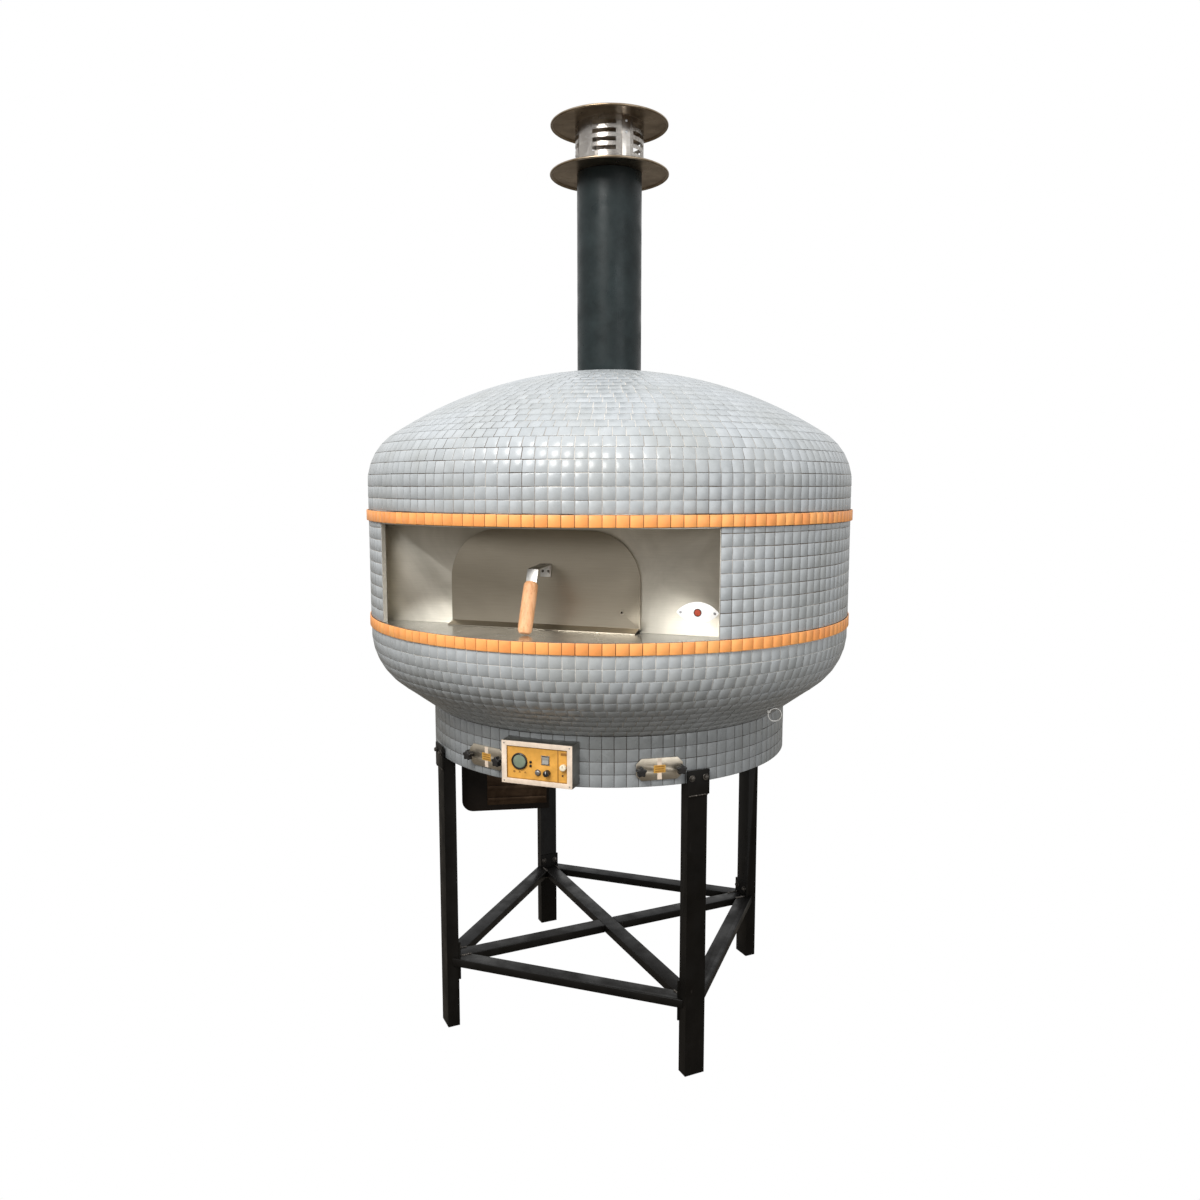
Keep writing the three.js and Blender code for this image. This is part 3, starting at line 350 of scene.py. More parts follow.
def lathe(profile, count=ROUND, start=0.0, span=TAU):
    """Points and faces of a closed [radius, z] outline turned about Z. A part turn gets end faces."""
    whole = abs(span - TAU) < 1e-6
    rings = count if whole else count + 1
    points = []
    for i in range(rings):
        angle = start + span * i / count
        c, s = math.sin(angle), -math.cos(angle)
        points += [(r * c, r * s, z) for r, z in profile]
    n = len(profile)
    faces = []
    for i in range(count):
        a = i * n
        b = ((i + 1) % rings) * n
        for k in range(n):
            q = (k + 1) % n
            faces.append((a + k, b + k, b + q, a + q))
    if not whole:
        faces.append(tuple(reversed(range(n))))
        faces.append(tuple((rings - 1) * n + k for k in range(n)))
    return points, faces


def turned(name, profile, material, count=ROUND, at=(0, 0, 0), turn=None, **rest):
    """A lathe piece. turn is a matrix that takes it from the Z axis to its own axis."""
    points, faces = lathe(profile, count)
    points = np.array(points)
    mesh_points = points
    if turn is not None:
        mesh_points = points @ np.array(turn.to_3x3()).T
    mesh_points = mesh_points + np.array(at)
    bm = bmesh.new()
    verts = [bm.verts.new(p) for p in mesh_points]
    for face in faces:
        bm.faces.new([verts[i] for i in face])
    bmesh.ops.remove_doubles(bm, verts=bm.verts, dist=1e-6)
    bmesh.ops.dissolve_degenerate(bm, dist=1e-7, edges=bm.edges)
    return from_bmesh(name, bm, material, **rest)


FACING_FRONT = Matrix.Rotation(math.pi / 2, 4, "X")   # takes +Z to -Y


def rounded_rod(radius, length, edge):
    """Outline of a round bar along Z with eased ends, from the axis out and back."""
    turn = [(edge * math.sin(a), edge * (1 - math.cos(a))) for a in np.linspace(0, math.pi / 2, 4)]
    foot = [(radius - edge + s, c) for s, c in turn]
    head = [(r, length - z) for r, z in reversed(foot)]
    return [(0, 0), *foot, *head, (0, length)]


def prism_bm(outline, depth):
    """A flat outline of (x, z) points, standing in the XZ plane and reaching depth towards -Y."""
    bm = bmesh.new()
    back = [bm.verts.new((x, 0, z)) for x, z in outline]
    face = bm.faces.new(back)
    made = bmesh.ops.extrude_face_region(bm, geom=[face])
    moved = [v for v in made["geom"] if isinstance(v, bmesh.types.BMVert)]
    bmesh.ops.translate(bm, verts=moved, vec=(0, -depth, 0))
    bmesh.ops.recalc_face_normals(bm, faces=bm.faces)
    return bm


def prism(name, outline, depth, material, place, bevel=0.0, **rest):
    """A prism, its sharp edges eased, put in place by a matrix."""
    bm = prism_bm(outline, depth)
    if bevel:
        ease(bm, bevel)
    bmesh.ops.transform(bm, matrix=place, verts=bm.verts)
    return from_bmesh(name, bm, material, **rest)


def ease(bm, width, segments=2, angle=30):
    edges = [e for e in bm.edges if len(e.link_faces) == 2 and e.calc_face_angle() > math.radians(angle)]
    bmesh.ops.bevel(bm, geom=edges, offset=width, segments=segments, profile=0.5,
                    affect="EDGES", clamp_overlap=True)


def rounded_box_bm(size, bevel, segments=2):
    bm = bmesh.new()
    bmesh.ops.create_cube(bm, size=1)
    bmesh.ops.scale(bm, vec=size, verts=bm.verts)
    ease(bm, bevel, segments)
    return bm


def rounded_box(name, centre, size, bevel, material, turn=0.0, **rest):
    bm = rounded_box_bm(size, bevel)
    place = Matrix.Rotation(turn, 4, "Z") @ Matrix.Translation(centre)
    bmesh.ops.transform(bm, matrix=place, verts=bm.verts)
    return from_bmesh(name, bm, material, **rest)


def cad_bm(node):
    bm = bmesh.new()
    bm.from_mesh(NODES[node].data)
    bmesh.ops.remove_doubles(bm, verts=bm.verts, dist=2e-5)
    bmesh.ops.dissolve_limit(bm, angle_limit=math.radians(1), verts=bm.verts, edges=bm.edges)
    return bm


def refine(node, material, bevel=0.0012, segments=2, body="oven", angle=30, slot=None):
    """The CAD shape with eased edges, in place of its node."""
    bm = cad_bm(node)
    ease(bm, bevel, segments, angle)
    piece = from_bmesh(node + "_body", bm, material, body, slot)
    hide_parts(node)
    return piece


def subtract(piece, *cutters):
    """Cuts solids out of a piece and throws the cutters away."""
    for cutter in cutters:
        modifier = piece.modifiers.new("cut", "BOOLEAN")
        modifier.object = cutter
        modifier.solver = "EXACT"
    bpy.context.view_layer.update()
    evaluated = piece.evaluated_get(bpy.context.evaluated_depsgraph_get())
    mesh = bpy.data.meshes.new_from_object(evaluated)
    piece.modifiers.clear()
    piece.data = mesh
    for cutter in cutters:
        bpy.data.objects.remove(cutter)
    return piece


def cutter_box(centre, size, turn=0.0):
    bm = bmesh.new()
    bmesh.ops.create_cube(bm, size=1)
    bmesh.ops.scale(bm, vec=size, verts=bm.verts)
    place = Matrix.Rotation(turn, 4, "Z") @ Matrix.Translation(centre)
    bmesh.ops.transform(bm, matrix=place, verts=bm.verts)
    mesh = bpy.data.meshes.new("cutter")
    bm.to_mesh(mesh)
    bm.free()
    cutter = bpy.data.objects.new("cutter", mesh)
    bpy.context.scene.collection.objects.link(cutter)
    return cutter


def group(name, parts, material, body="oven", slot=None, sharp=35):
    """One piece out of several bmeshes."""
    whole = bmesh.new()
    for part in parts:
        mesh = bpy.data.meshes.new("part")
        part.to_mesh(mesh)
        part.free()
        whole.from_mesh(mesh)
        bpy.data.meshes.remove(mesh)
    return from_bmesh(name, whole, material, body, slot, True, sharp)


# ---- Mosaic -------------------------------------------------------------------------------
TILE_RINGS = [(0.0, 0.0022, 0.0004), (0.0, 0.0004, 0.0007), (0.0005, 0.0, 0.001)]


def tile_loops(half_w, half_h):
    """Rings of a tile from its foot to its face: (inset, depth, corner cut), eight points each."""
    rings = []
    for inset, depth, corner in TILE_RINGS:
        w, h = half_w - inset, half_h - inset
        c = min(corner, 0.4 * w, 0.4 * h)
        rings.append([(-w + c, -h, -depth), (w - c, -h, -depth), (w, -h + c, -depth), (w, h - c, -depth),
                      (w - c, h, -depth), (-w + c, h, -depth), (-w, h - c, -depth), (-w, -h + c, -depth)])
    return rings


def tile_faces():
    faces = []
    for level in range(len(TILE_RINGS) - 1):
        for k in range(8):
            q = (k + 1) % 8
            faces.append((8 * level + k, 8 * level + q, 8 * level + 8 + q, 8 * level + 8 + k))
    faces.append(tuple(8 * (len(TILE_RINGS) - 1) + k for k in range(8)))
    return faces


def mosaic(name, cells, material, seed, body="oven"):
    """cells: (centre, across, up, half width, half height) of each tile, in the row frame."""
    draw = random.Random(seed)
    pattern = tile_faces()
    points, faces, tones = [], [], []
    for centre, across, up, half_w, half_h in cells:
        out = across.cross(up)
        turn = draw.gauss(0, 0.006)
        tip = draw.gauss(0, 0.0022)
        nod = draw.gauss(0, 0.0022)
        side = across * math.cos(turn) + up * math.sin(turn) + out * tip
        rise = up * math.cos(turn) - across * math.sin(turn) + out * nod
        shift = across * draw.gauss(0, 0.00014) + up * draw.gauss(0, 0.00014)
        shift += out * draw.gauss(0, 0.00005)
        start = len(points)
        for ring in tile_loops(half_w, half_h):
            points += [centre + shift + side * u + rise * v + out * w for u, v, w in ring]
        faces += [tuple(start + i for i in face) for face in pattern]
        tones += [min(max(draw.gauss(0.5, 0.2), 0), 1)] * 24
    piece = make(name, points, faces, material, body, True, 28)
    layer = piece.data.attributes.new("tone", "FLOAT", "POINT")
    layer.data.foreach_set("value", tones)
    return piece


class Outline:
    """A smooth [radius, z] line that can be read by its own length."""

    def __init__(self, points):
        self.at = np.array(points, float)
        steps = np.linalg.norm(np.diff(self.at, axis=0), axis=1)
        self.s = np.concatenate([[0], np.cumsum(steps)])
        self.length = self.s[-1]

    def point(self, s):
        return np.interp(s, self.s, self.at[:, 0]), np.interp(s, self.s, self.at[:, 1])

    def slope(self, s):
        a, b = self.point(max(s - 0.002, 0)), self.point(min(s + 0.002, self.length))
        d = np.array(b) - np.array(a)
        return d / np.linalg.norm(d)


def ring_cells(outline, s, half_h, count, phase, keep=None, start=0.0, span=TAU):
    """The cells of one row of tiles, laid round at length s along an outline."""
    r, z = outline.point(s)
    dr, dz = outline.slope(s)
    half_w = min(TILE / 2, span * r / count / 2 - 0.0007)
    cells = []
    for i in range(count):
        angle = start + span * (i + phase) / count
        radial = Vector((math.sin(angle), -math.cos(angle), 0))
        across = Vector((math.cos(angle), math.sin(angle), 0))
        up = (radial * dr + Vector((0, 0, dz))).normalized()
        if keep and not keep(angle, z):
            continue
        cells.append((radial * r + Vector((0, 0, z)), across, up, half_w, half_h))
    return cells


def rows(outline, start, draw, keep=None, first_count=None, pitch=PITCH):
    """Rows up an outline. A row keeps its columns in line until the tile count has to change."""
    cells = []
    s = start
    count = first_count or round(TAU * outline.point(s)[0] / PITCH)
    phase = 0.5
    while s < outline.length - 0.003:
        top = min(s + pitch, outline.length)
        mid = (s + top) / 2
        wanted = int(TAU * outline.point(mid)[0] / PITCH + 0.35)
        if wanted < 6:
            break
        if abs(wanted - count) >= (2 if count > 120 else 1):
            count = wanted
            phase = draw.random()
        half_h = (top - s - JOINT) / 2
        if half_h > 0.002:
            cells += ring_cells(outline, mid, half_h, count, phase, keep)
        s = top
    return cells


def arc_points(cr, cz, radius, a0, a1, n=40):
    return [(cr + radius * math.cos(a), cz + radius * math.sin(a)) for a in np.linspace(a0, a1, n)]


def dome_line(offset, hole):
    centre_r = WALL_R - SHOULDER_R
    crown_z = APEX_Z - CROWN_R
    shoulder_z = crown_z + math.sqrt((CROWN_R - SHOULDER_R) ** 2 - centre_r ** 2)
    join = math.atan2(shoulder_z - crown_z, centre_r)
    line = [(WALL_R - offset, UPPER_TOP + 0.0003)]
    line += arc_points(centre_r, shoulder_z, SHOULDER_R - offset, 0, join, 24)
    end = math.acos(hole / (CROWN_R - offset))
    line += arc_points(0, crown_z, CROWN_R - offset, join, end, 36)[1:]
    return line


def bowl_line(offset):
    """From the rim down to the foot."""
    centre_r = BOWL_R - BOWL_ARC_R
    line = [(BOWL_R - offset, RIM_Z - 0.0003)]
    line += arc_points(centre_r, BOWL_ARC_Z, BOWL_ARC_R - offset, 0, -BOWL_ARC_END, 30)
    line.append((SKIRT_R - 0.6 * offset, SKIRT_TOP + 0.0003 + 0.8 * offset))
    return line


def shell(name, node, outer, inner, material, slot="tile"):
    points, faces = lathe([*outer, *reversed(inner)])
    bm = bmesh.new()
    verts = [bm.verts.new(p) for p in points]
    for face in faces:
        bm.faces.new([verts[i] for i in face])
    piece = from_bmesh(name, bm, M[material], slot=slot)
    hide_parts(node)
    return piece


def build_dome(draw):
    hole = PIPE_R + 0.001
    shell("dome_bed", "dome_shell", dome_line(GROUT_DEPTH, hole), dome_line(SHELL, hole), "grout_stained")
    cells = rows(Outline(dome_line(0, hole + 0.002)), 0.0012, draw, first_count=140)
    mosaic("dome_tiles", cells, M["tile"], 11)


def build_bowl(draw):
    line = bowl_line(0)
    ledge = low("shelf", Z) - 0.0003
    inner = [(BOWL_R - 0.029, ledge), (BOWL_R - 0.029, ledge - 0.005), *bowl_line(SHELL)[1:]]
    shell("bowl_bed", "bowl_shell", bowl_line(GROUT_DEPTH), inner, "grout")
    outline = Outline(line)
    cells = rows(outline, 0.0012, draw, first_count=140)
    turned_cells = [(c, -across, up, w, h) for c, across, up, w, h in cells]
    mosaic("bowl_tiles", turned_cells, M["tile"], 12)


def mouth_edges(r):
    """The angles where the wall starts and ends at a radius, going round from the right jamb."""
    return math.asin(MOUTH_RIGHT / r), TAU - math.asin(-MOUTH_LEFT / r)


def build_wall():
    """The upright wall, left open at the mouth, its end faces parallel to the flue's front plane."""
    bottom, top = low("drum_wall", Z), high("drum_wall", Z)
    count = 150
    points, faces = [], []
    for i in range(count + 1):
        for r in (WALL_R - GROUT_DEPTH, WALL_R - SHELL):
            start, stop = mouth_edges(r)
            angle = start + (stop - start) * i / count
            c, s = math.sin(angle), -math.cos(angle)
            points += [(r * c, r * s, bottom), (r * c, r * s, top)]
    for i in range(count):
        a, b = 4 * i, 4 * i + 4
        faces += [(a, b, b + 1, a + 1), (a + 3, b + 3, b + 2, a + 2)]
        faces += [(a + 1, b + 1, b + 3, a + 3), (a + 2, b + 2, b, a)]
    last = 4 * count
    faces += [(0, 1, 3, 2), (last + 2, last + 3, last + 1, last)]
    bed = make("wall_bed", points, faces, M["grout_stained"])
    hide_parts("drum_wall")
    line = Outline([(WALL_R, bottom), (WALL_R, top)])
    start, stop = mouth_edges(WALL_R)
    edge, span = start + 0.002, stop - start - 0.004
    columns = round(span * WALL_R / PITCH)
    rows_high = 8.5
    pitch = (top - bottom) / rows_high
    cells = []
    s = 0.0
    while s < line.length - 0.003:
        end = min(s + pitch, line.length)
        cells += ring_cells(line, (s + end) / 2, (end - s - JOINT) / 2, columns, 0.5, None, edge, span)
        s = end
    mosaic("wall_tiles", cells, M["tile"], 13)


def build_bands():
    count = 140
    for name, r, bottom, seed in (("upper_band", UPPER_R, UPPER_Z, 14), ("lower_band", LOWER_R, RIM_Z, 15)):
        top = bottom + (UPPER_TOP - UPPER_Z)
        inner = WALL_R - SHELL
        foot, head = bottom + 0.0004, top - 0.0008
        bed = [(inner, foot), (r - 0.003, foot), (r - 0.0022, bottom + 0.002), (r - 0.0022, top - 0.002),
               (r - 0.003, head), (inner, head)]
        piece = turned(name + "_bed", bed, M["grout_brown"], slot="band_tile")
        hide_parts(name)
        line = Outline([(r, bottom), (r, top)])
        cells = ring_cells(line, (top - bottom) / 2, (top - bottom) / 2 - 0.0003, count, 0.5)
        mosaic(name + "_tiles", cells, M["band"], seed)


def build_skirt(draw):
    bottom, top = SKIRT_BASE, SKIRT_TOP
    bed = turned("skirt_bed", [(SKIRT_R - SKIRT_T, bottom), (SKIRT_R - GROUT_DEPTH, bottom),
                               (SKIRT_R - GROUT_DEPTH, top), (SKIRT_R - SKIRT_T, top)],
                 M["grout_dark"], slot="tile")
    cutters = []
    for side, azimuth in COVER_AZIMUTH.items():
        z = middle(f"cover_{side}").z
        cutters.append(cutter_box((0, -SKIRT_R + SKIRT_T / 2, z), (0.064, 0.06, 0.028), azimuth))
    subtract(bed, *cutters)
    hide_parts("skirt")

    def clear_of_ports(angle, z):
        for side, azimuth in COVER_AZIMUTH.items():
            if abs(angle - azimuth) * SKIRT_R < 0.045 and abs(z - middle(f"cover_{side}").z) < 0.018:
                return False
        return True

    line = Outline([(SKIRT_R, bottom), (SKIRT_R, top)])
    cells = []
    count = round(TAU * SKIRT_R / PITCH)
    rows_high = 4
    pitch = line.length / rows_high
    for row in range(rows_high):
        cells += ring_cells(line, (row + 0.5) * pitch, (pitch - JOINT) / 2, count, 0.5, clear_of_ports, -math.pi)
    # The skirt tiles take the darkened glaze: painted shade of the bowl above.
    mosaic("skirt_tiles", cells, M["skirt_tile_painted_shade"], 16)


# ---- Stand --------------------------------------------------------------------------------
def hex_bolt(place, size=0.0050, height=0.004):
    """A hexagon head on a washer, pointing to -Y of its own place."""
    head = prism_bm([(size * math.sin(a), size * math.cos(a)) for a in np.linspace(0, TAU, 7)[:-1]], height)
    ease(head, 0.0007)
    bmesh.ops.translate(head, verts=head.verts, vec=(0, -0.0018, 0))
    rim = 1.5 * size
    washer = prism_bm([(rim * math.sin(a), rim * math.cos(a)) for a in np.linspace(0, TAU, 25)[:-1]], 0.0018)
    ease(washer, 0.0003, 1)
    for part in (head, washer):
        bmesh.ops.transform(part, matrix=place, verts=part.verts)
    return [head, washer]


def bead(start, end, radius, seed, step=0.6):
    """A weld bead: a row of overlapping uneven drops."""
    draw = random.Random(seed)
    start, end = Vector(start), Vector(end)
    length = (end - start).length
    count = max(int(length / (radius * step)), 2)
    parts = []
    for i in range(count + 1):
        at = start.lerp(end, i / count)
        ball = bmesh.new()
        bmesh.ops.create_icosphere(ball, subdivisions=1, radius=radius * draw.uniform(0.8, 1.15))
        bmesh.ops.translate(ball, verts=ball.verts, vec=at + Vector([draw.uniform(-0.15, 0.15) * radius for _ in range(3)]))
        parts.append(ball)
    return parts


def build_stand():
    for corner in LEG_TURN:
        refine(f"leg_{corner}", M["black"], 0.0016, 3, slot="black_paint")
    for node in ("rail_front", "rail_right", "rail_back", "rail_left",
                 "brace_through", "brace_half_front", "brace_half_back"):
        refine(node, M["black"], 0.0014, 3, slot="black_paint")
    bolts, beads = [], []
    ear_y = -0.4593
    plate_y = -0.4207
    for corner, degrees in LEG_TURN.items():
        turn = Matrix.Rotation(math.radians(degrees), 4, "Z")
        for x in (-0.0175, 0.0175):
            bolts += hex_bolt(turn @ Matrix.Translation((x, ear_y, high(f"leg_{corner}", Z) - 0.017)))
            inward = Matrix.Translation((x, plate_y, 0.200)) @ Matrix.Rotation(math.pi, 4, "Z")
            bolts += hex_bolt(turn @ inward)
        for x in (-0.0255, 0.0255):
            line = [turn @ Vector((x, -0.4555, z)) for z in (0.664, SKIRT_BASE)]
            beads += bead(*line, 0.0022, int(1000 * abs(x)) + degrees)
        foot = [turn @ Vector((x, -0.4570, 0.6615)) for x in (-0.023, 0.023)]
        beads += bead(*foot, 0.0026, 300 + degrees)
    for quarter in range(4):
        turn = Matrix.Rotation(quarter * math.pi / 2, 4, "Z")
        for side in (-1, 1):
            for z in (0.159, 0.179):
                a = turn @ Vector((side * 0.2635, -0.2915, z))
                b = turn @ Vector((side * 0.2830, -0.3110, z))
                beads += bead(a, b, 0.0028, quarter * 10 + side)
    group("stand_bolts", bolts, M["bolt"], slot="black_paint")
    group("stand_welds", beads, M["weld"], slot="black_paint", sharp=80)


# ---- Mouth and door -----------------------------------------------------------------------
def screw_bm(place, radius=0.003, height=0.0015):
    outline = [(radius * math.sin(a), radius * math.cos(a)) for a in np.linspace(0, TAU, 17)[:-1]]
    head = prism_bm(outline, height)
    ease(head, 0.0005)
    slot = rounded_box_bm((radius * 1.5, 0.0004, radius * 0.28), 0.00005, 1)
    bmesh.ops.translate(slot, verts=slot.verts, vec=(0, -height, 0))
    for part in (head, slot):
        bmesh.ops.transform(part, matrix=place, verts=part.verts)
    return [head, slot]


def build_mouth():
    refine("front_plate", M["plate"], 0.0006, 2, slot="mouth_steel")
    # The shelf's top sheet runs out over the band's bed to the back of its tiles.
    top, bottom = high("shelf", Z), low("shelf", Z)
    back = high("shelf", Y)
    edge_r = LOWER_R - 0.0055
    half = math.acos(-back / edge_r)
    under_r = WALL_R - SHELL - 0.0004
    under_half = math.acos(-back / under_r)

    def segment(r, half_angle, z):
        return [(r * math.sin(a), -r * math.cos(a), z) for a in np.linspace(-half_angle, half_angle, 97)]

    for name, r, half_angle, z0, z1 in (("shelf_sheet", edge_r, half, top - 0.0012, top + 0.0002),
                                        ("shelf_bed", under_r, under_half, bottom, top - 0.0014)):
        low_line, high_line = segment(r, half_angle, z0), segment(r, half_angle, z1)
        n = len(low_line)
        faces = [tuple(range(n)), tuple(range(2 * n - 1, n - 1, -1))]
        faces += [(i, n + i, n + (i + 1) % n, (i + 1) % n) for i in range(n)]
        bm = bmesh.new()
        verts = [bm.verts.new(p) for p in low_line + high_line]
        for face in faces:
            bm.faces.new([verts[i] for i in face])
        piece = from_bmesh(name, bm, M["shelf"], slot="mouth_steel")
        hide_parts("shelf")
    for side, edge in (("left", MOUTH_LEFT), ("right", MOUTH_RIGHT)):
        build_jamb(side, edge)
    build_badge()


def build_jamb(side, edge):
    """A steel strip that caps the cut end of the wall and lines the shell back to the plate."""
    sheet = 0.0007
    bottom, top = low("front_plate", Z) + 0.0006, high("front_plate", Z) - 0.0042
    plate_front = low("badge", Y) + 0.0020
    inner_r = WALL_R - SHELL - 0.0004
    first = math.asin(abs(edge) / inner_r)
    last = math.acos(-plate_front / inner_r)
    arc = np.linspace(first, last, 9)
    behind = [(abs(edge), -math.sqrt((WALL_R - 0.0006) ** 2 - edge ** 2))]
    behind += [(inner_r * math.sin(a), -inner_r * math.cos(a)) for a in arc]
    front = [(x - sheet, y - (sheet if i == 0 else 0)) for i, (x, y) in enumerate(behind)]
    bm = bmesh.new()
    sign = math.copysign(1, edge)
    line = [(sign * x, y) for x, y in behind + front[::-1]]
    foot = [bm.verts.new((x, y, bottom)) for x, y in line]
    head = [bm.verts.new((x, y, top)) for x, y in line]
    n, m = len(behind), len(line)
    for i in range(n - 1):
        bm.faces.new((foot[i], foot[i + 1], foot[m - 2 - i], foot[m - 1 - i]))
        bm.faces.new((head[i], head[i + 1], head[m - 2 - i], head[m - 1 - i]))
    for i in range(m):
        q = (i + 1) % m
        bm.faces.new((foot[i], foot[q], head[q], head[i]))
    from_bmesh(f"jamb_{side}", bm, M["jamb"], slot="mouth_steel")


def lens(half_w, half_h, steps=24):
    """A pointed oval: two arcs of one circle."""
    radius = (half_w ** 2 + half_h ** 2) / (2 * half_h)
    reach = math.asin(half_w / radius)
    top = [(radius * math.sin(a), radius * math.cos(a) - radius + half_h) for a in np.linspace(-reach, reach, steps)]
    return top + [(-x, -z) for x, z in top[1:-1]]


def build_badge():
    centre = middle("badge")
    front = high("badge", Y)
    half_w = (high("badge", X) - low("badge", X)) / 2
    half_h = (high("badge", Z) - low("badge", Z)) / 2
    at = Matrix.Translation((centre.x, front, centre.z))
    plate = prism("badge_plate", lens(half_w, half_h), 0.0018, M["white"], at, 0.0005, slot="badge_white")
    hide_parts("badge")
    disc = [(0.0085 * math.sin(a), 0.0085 * math.cos(a)) for a in np.linspace(0, TAU, 33)[:-1]]
    ring = [(0.0065 * math.sin(a), 0.0065 * math.cos(a)) for a in np.linspace(0, TAU, 33)[:-1]]
    proud = Matrix.Translation((centre.x, front - 0.0018, centre.z))
    prism("badge_disc", disc, 0.0003, M["black_plastic"], proud, slot="badge_white")
    prism("badge_dot", ring, 0.0005, M["red"], proud, slot="badge_white")
    screws = []
    for side in (-1, 1):
        screws += screw_bm(Matrix.Translation((centre.x + side * (half_w - 0.009), front - 0.0018, centre.z)))
    group("badge_screws", screws, M["machined"], slot="badge_white")


def build_door():
    panel = refine("door_panel", M["door"], 0.0007, 2, "door", slot="door_steel")
    hole = cutter_box((0.174, high("door_panel", Y), HEARTH_Z + 0.0425), (0.004, 0.02, 0.004))
    subtract(panel, hole)
    refine("door_strap", M["strap"], 0.0005, 2, "door", slot="door_steel")
    rivets = []
    for x in (-0.0065, 0.0065):
        rivets += screw_bm(Matrix.Translation((x, high("door_strap", Y) - 0.003, 1.158)), 0.003, 0.0014)[:1]
    group("strap_rivets", rivets, M["bolt"], "door", "door_steel")
    build_grip()


def build_grip():
    """The grip is turned wood: eased ends and a slight belly."""
    a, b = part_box("door_grip")
    lean = Vector((0, -0.345, -0.939)).normalized()
    radius = (b.x - a.x) / 2
    reach = radius * math.sqrt(1 - lean.z ** 2)
    length = ((b.z - a.z) - 2 * reach) / abs(lean.z)
    centre = (a + b) / 2
    profile = [(0, 0)]
    steps = 24
    for i in range(steps + 1):
        t = i / steps
        end = min(t, 1 - t) * length
        eased = 1 - 0.22 * math.exp(-end / 0.0022)
        belly = 1 - 0.05 * (2 * t - 1) ** 4
        profile.append((radius * eased * belly, t * length))
    profile.append((0, length))
    axis = Vector((0, 0, 1)).rotation_difference(lean).to_matrix().to_4x4()
    start = centre - lean * length / 2
    grip = turned("grip_turned", profile, M["wood"], 48, start, axis, body="door", slot="grip_wood")
    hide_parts("door_grip")


# ---- Flue ---------------------------------------------------------------------------------
def build_flue():
    bottom, top = low("flue_pipe", Z), high("flue_pipe", Z)
    wall = 0.004
    pipe = turned("flue_tube", [(PIPE_R - wall, bottom), (PIPE_R, bottom), (PIPE_R, top), (PIPE_R - wall, top)],
                  M["pipe"], 96, slot="pipe_black")
    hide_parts("flue_pipe")
    build_cap_disc("cap_lower_disc", PIPE_R - 0.008)
    build_cap_disc("cap_top_disc", 0.0)
    build_cap_ring()


def build_cap_disc(node, hole):
    """A pressed disc with a rolled rim. The lower one has a spigot that goes down into the pipe."""
    r = high(node, X)
    top = high(node, Z)
    sheet = 0.0025
    rim = 0.0032
    roll = [(r - rim + rim * math.cos(a), top - rim + rim * math.sin(a)) for a in np.linspace(math.pi / 2, -math.pi / 2 * 1.6, 12)]
    if hole:
        foot = low(node, Z)
        profile = [(hole, foot), (hole + sheet, foot), (hole + sheet, top - sheet), (r - 2.2 * rim, top - sheet),
                   *reversed(roll), (hole, top)]
    else:
        profile = [(0, top - sheet), (r * 0.6, top - sheet), (r - 2.2 * rim, top - sheet), *reversed(roll),
                   (r * 0.6, top), (0, top)]
    piece = turned(node + "_pressed", profile, M["disc"], 128, slot="cap_stainless", sharp=50)
    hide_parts(node)


def build_cap_ring():
    """A rolled strip with rows of slots, lapped and riveted."""
    bottom, top = low("cap_ring", Z), high("cap_ring", Z)
    r = 0.084
    wall = 0.0016
    columns, per_column, open_steps = 5, 36, 20
    total = columns * per_column
    rows_z = [bottom + 0.0365 + 0.0198 * i for i in range(4)]
    levels = [bottom]
    for z in rows_z:
        levels += [z - 0.005, z + 0.005]
    levels.append(top)
    first = math.radians(10) - math.radians(20)
    bm = bmesh.new()
    grid = []
    for i in range(total):
        angle = first + TAU * i / total
        radial = Vector((math.sin(angle), -math.cos(angle), 0))
        grid.append([bm.verts.new(radial * r + Vector((0, 0, z))) for z in levels])
    for i in range(total):
        in_slot = (i % per_column) < open_steps
        for k in range(len(levels) - 1):
            if in_slot and k % 2 == 1 and k < len(levels) - 2:
                continue
            a, b = grid[i], grid[(i + 1) % total]
            bm.faces.new((a[k], b[k], b[k + 1], a[k + 1]))
    bmesh.ops.solidify(bm, geom=bm.faces[:], thickness=wall)
    piece = from_bmesh("cap_ring_rolled", bm, M["cap"], slot="cap_stainless", sharp=50)
    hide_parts("cap_ring")
    seam = math.radians(47.5)
    rounded_box("cap_seam", (0, -r - 0.0004, (bottom + top) / 2), (0.022, 0.0012, top - bottom - 0.001), 0.0003,
                M["cap"], seam, slot="cap_stainless")
    rivets = []
    for z in (bottom + 0.074, bottom + 0.100):
        place = Matrix.Rotation(seam, 4, "Z") @ Matrix.Translation((0, -r - 0.0008, z))
        rivets += screw_bm(place, 0.0034, 0.0018)[:1]
    group("cap_rivets", rivets, M["machined"], slot="cap_stainless")


# ---- Controls -----------------------------------------------------------------------------
CONTROL_X, CONTROL_Z = 0.004, 0.744
CONTROL_FRONT = low("control_box", Y)
FACE_Y = low("control_face", Y)


def face_place(dx, dz, y=None):
    return Matrix.Translation((CONTROL_X + dx, FACE_Y if y is None else y, CONTROL_Z + dz))


def face_disc(name, dx, dz, radius, depth, material, y=None, edge=0.0006, body="oven", slot="black_plastic", count=40):
    at = face_place(dx, dz, y).translation
    return turned(name, rounded_rod(radius, depth, edge), M[material], count, at, FACING_FRONT, body=body, slot=slot)


def face_patch(name, dx, dz, w, h, depth, material, y=None, edge=0.0001, slot="face_orange", body="oven"):
    box = [(-w / 2, -h / 2), (w / 2, -h / 2), (w / 2, h / 2), (-w / 2, h / 2)]
    return prism(name, box, depth, M[material], face_place(dx, dz, y), edge, slot=slot, body=body)


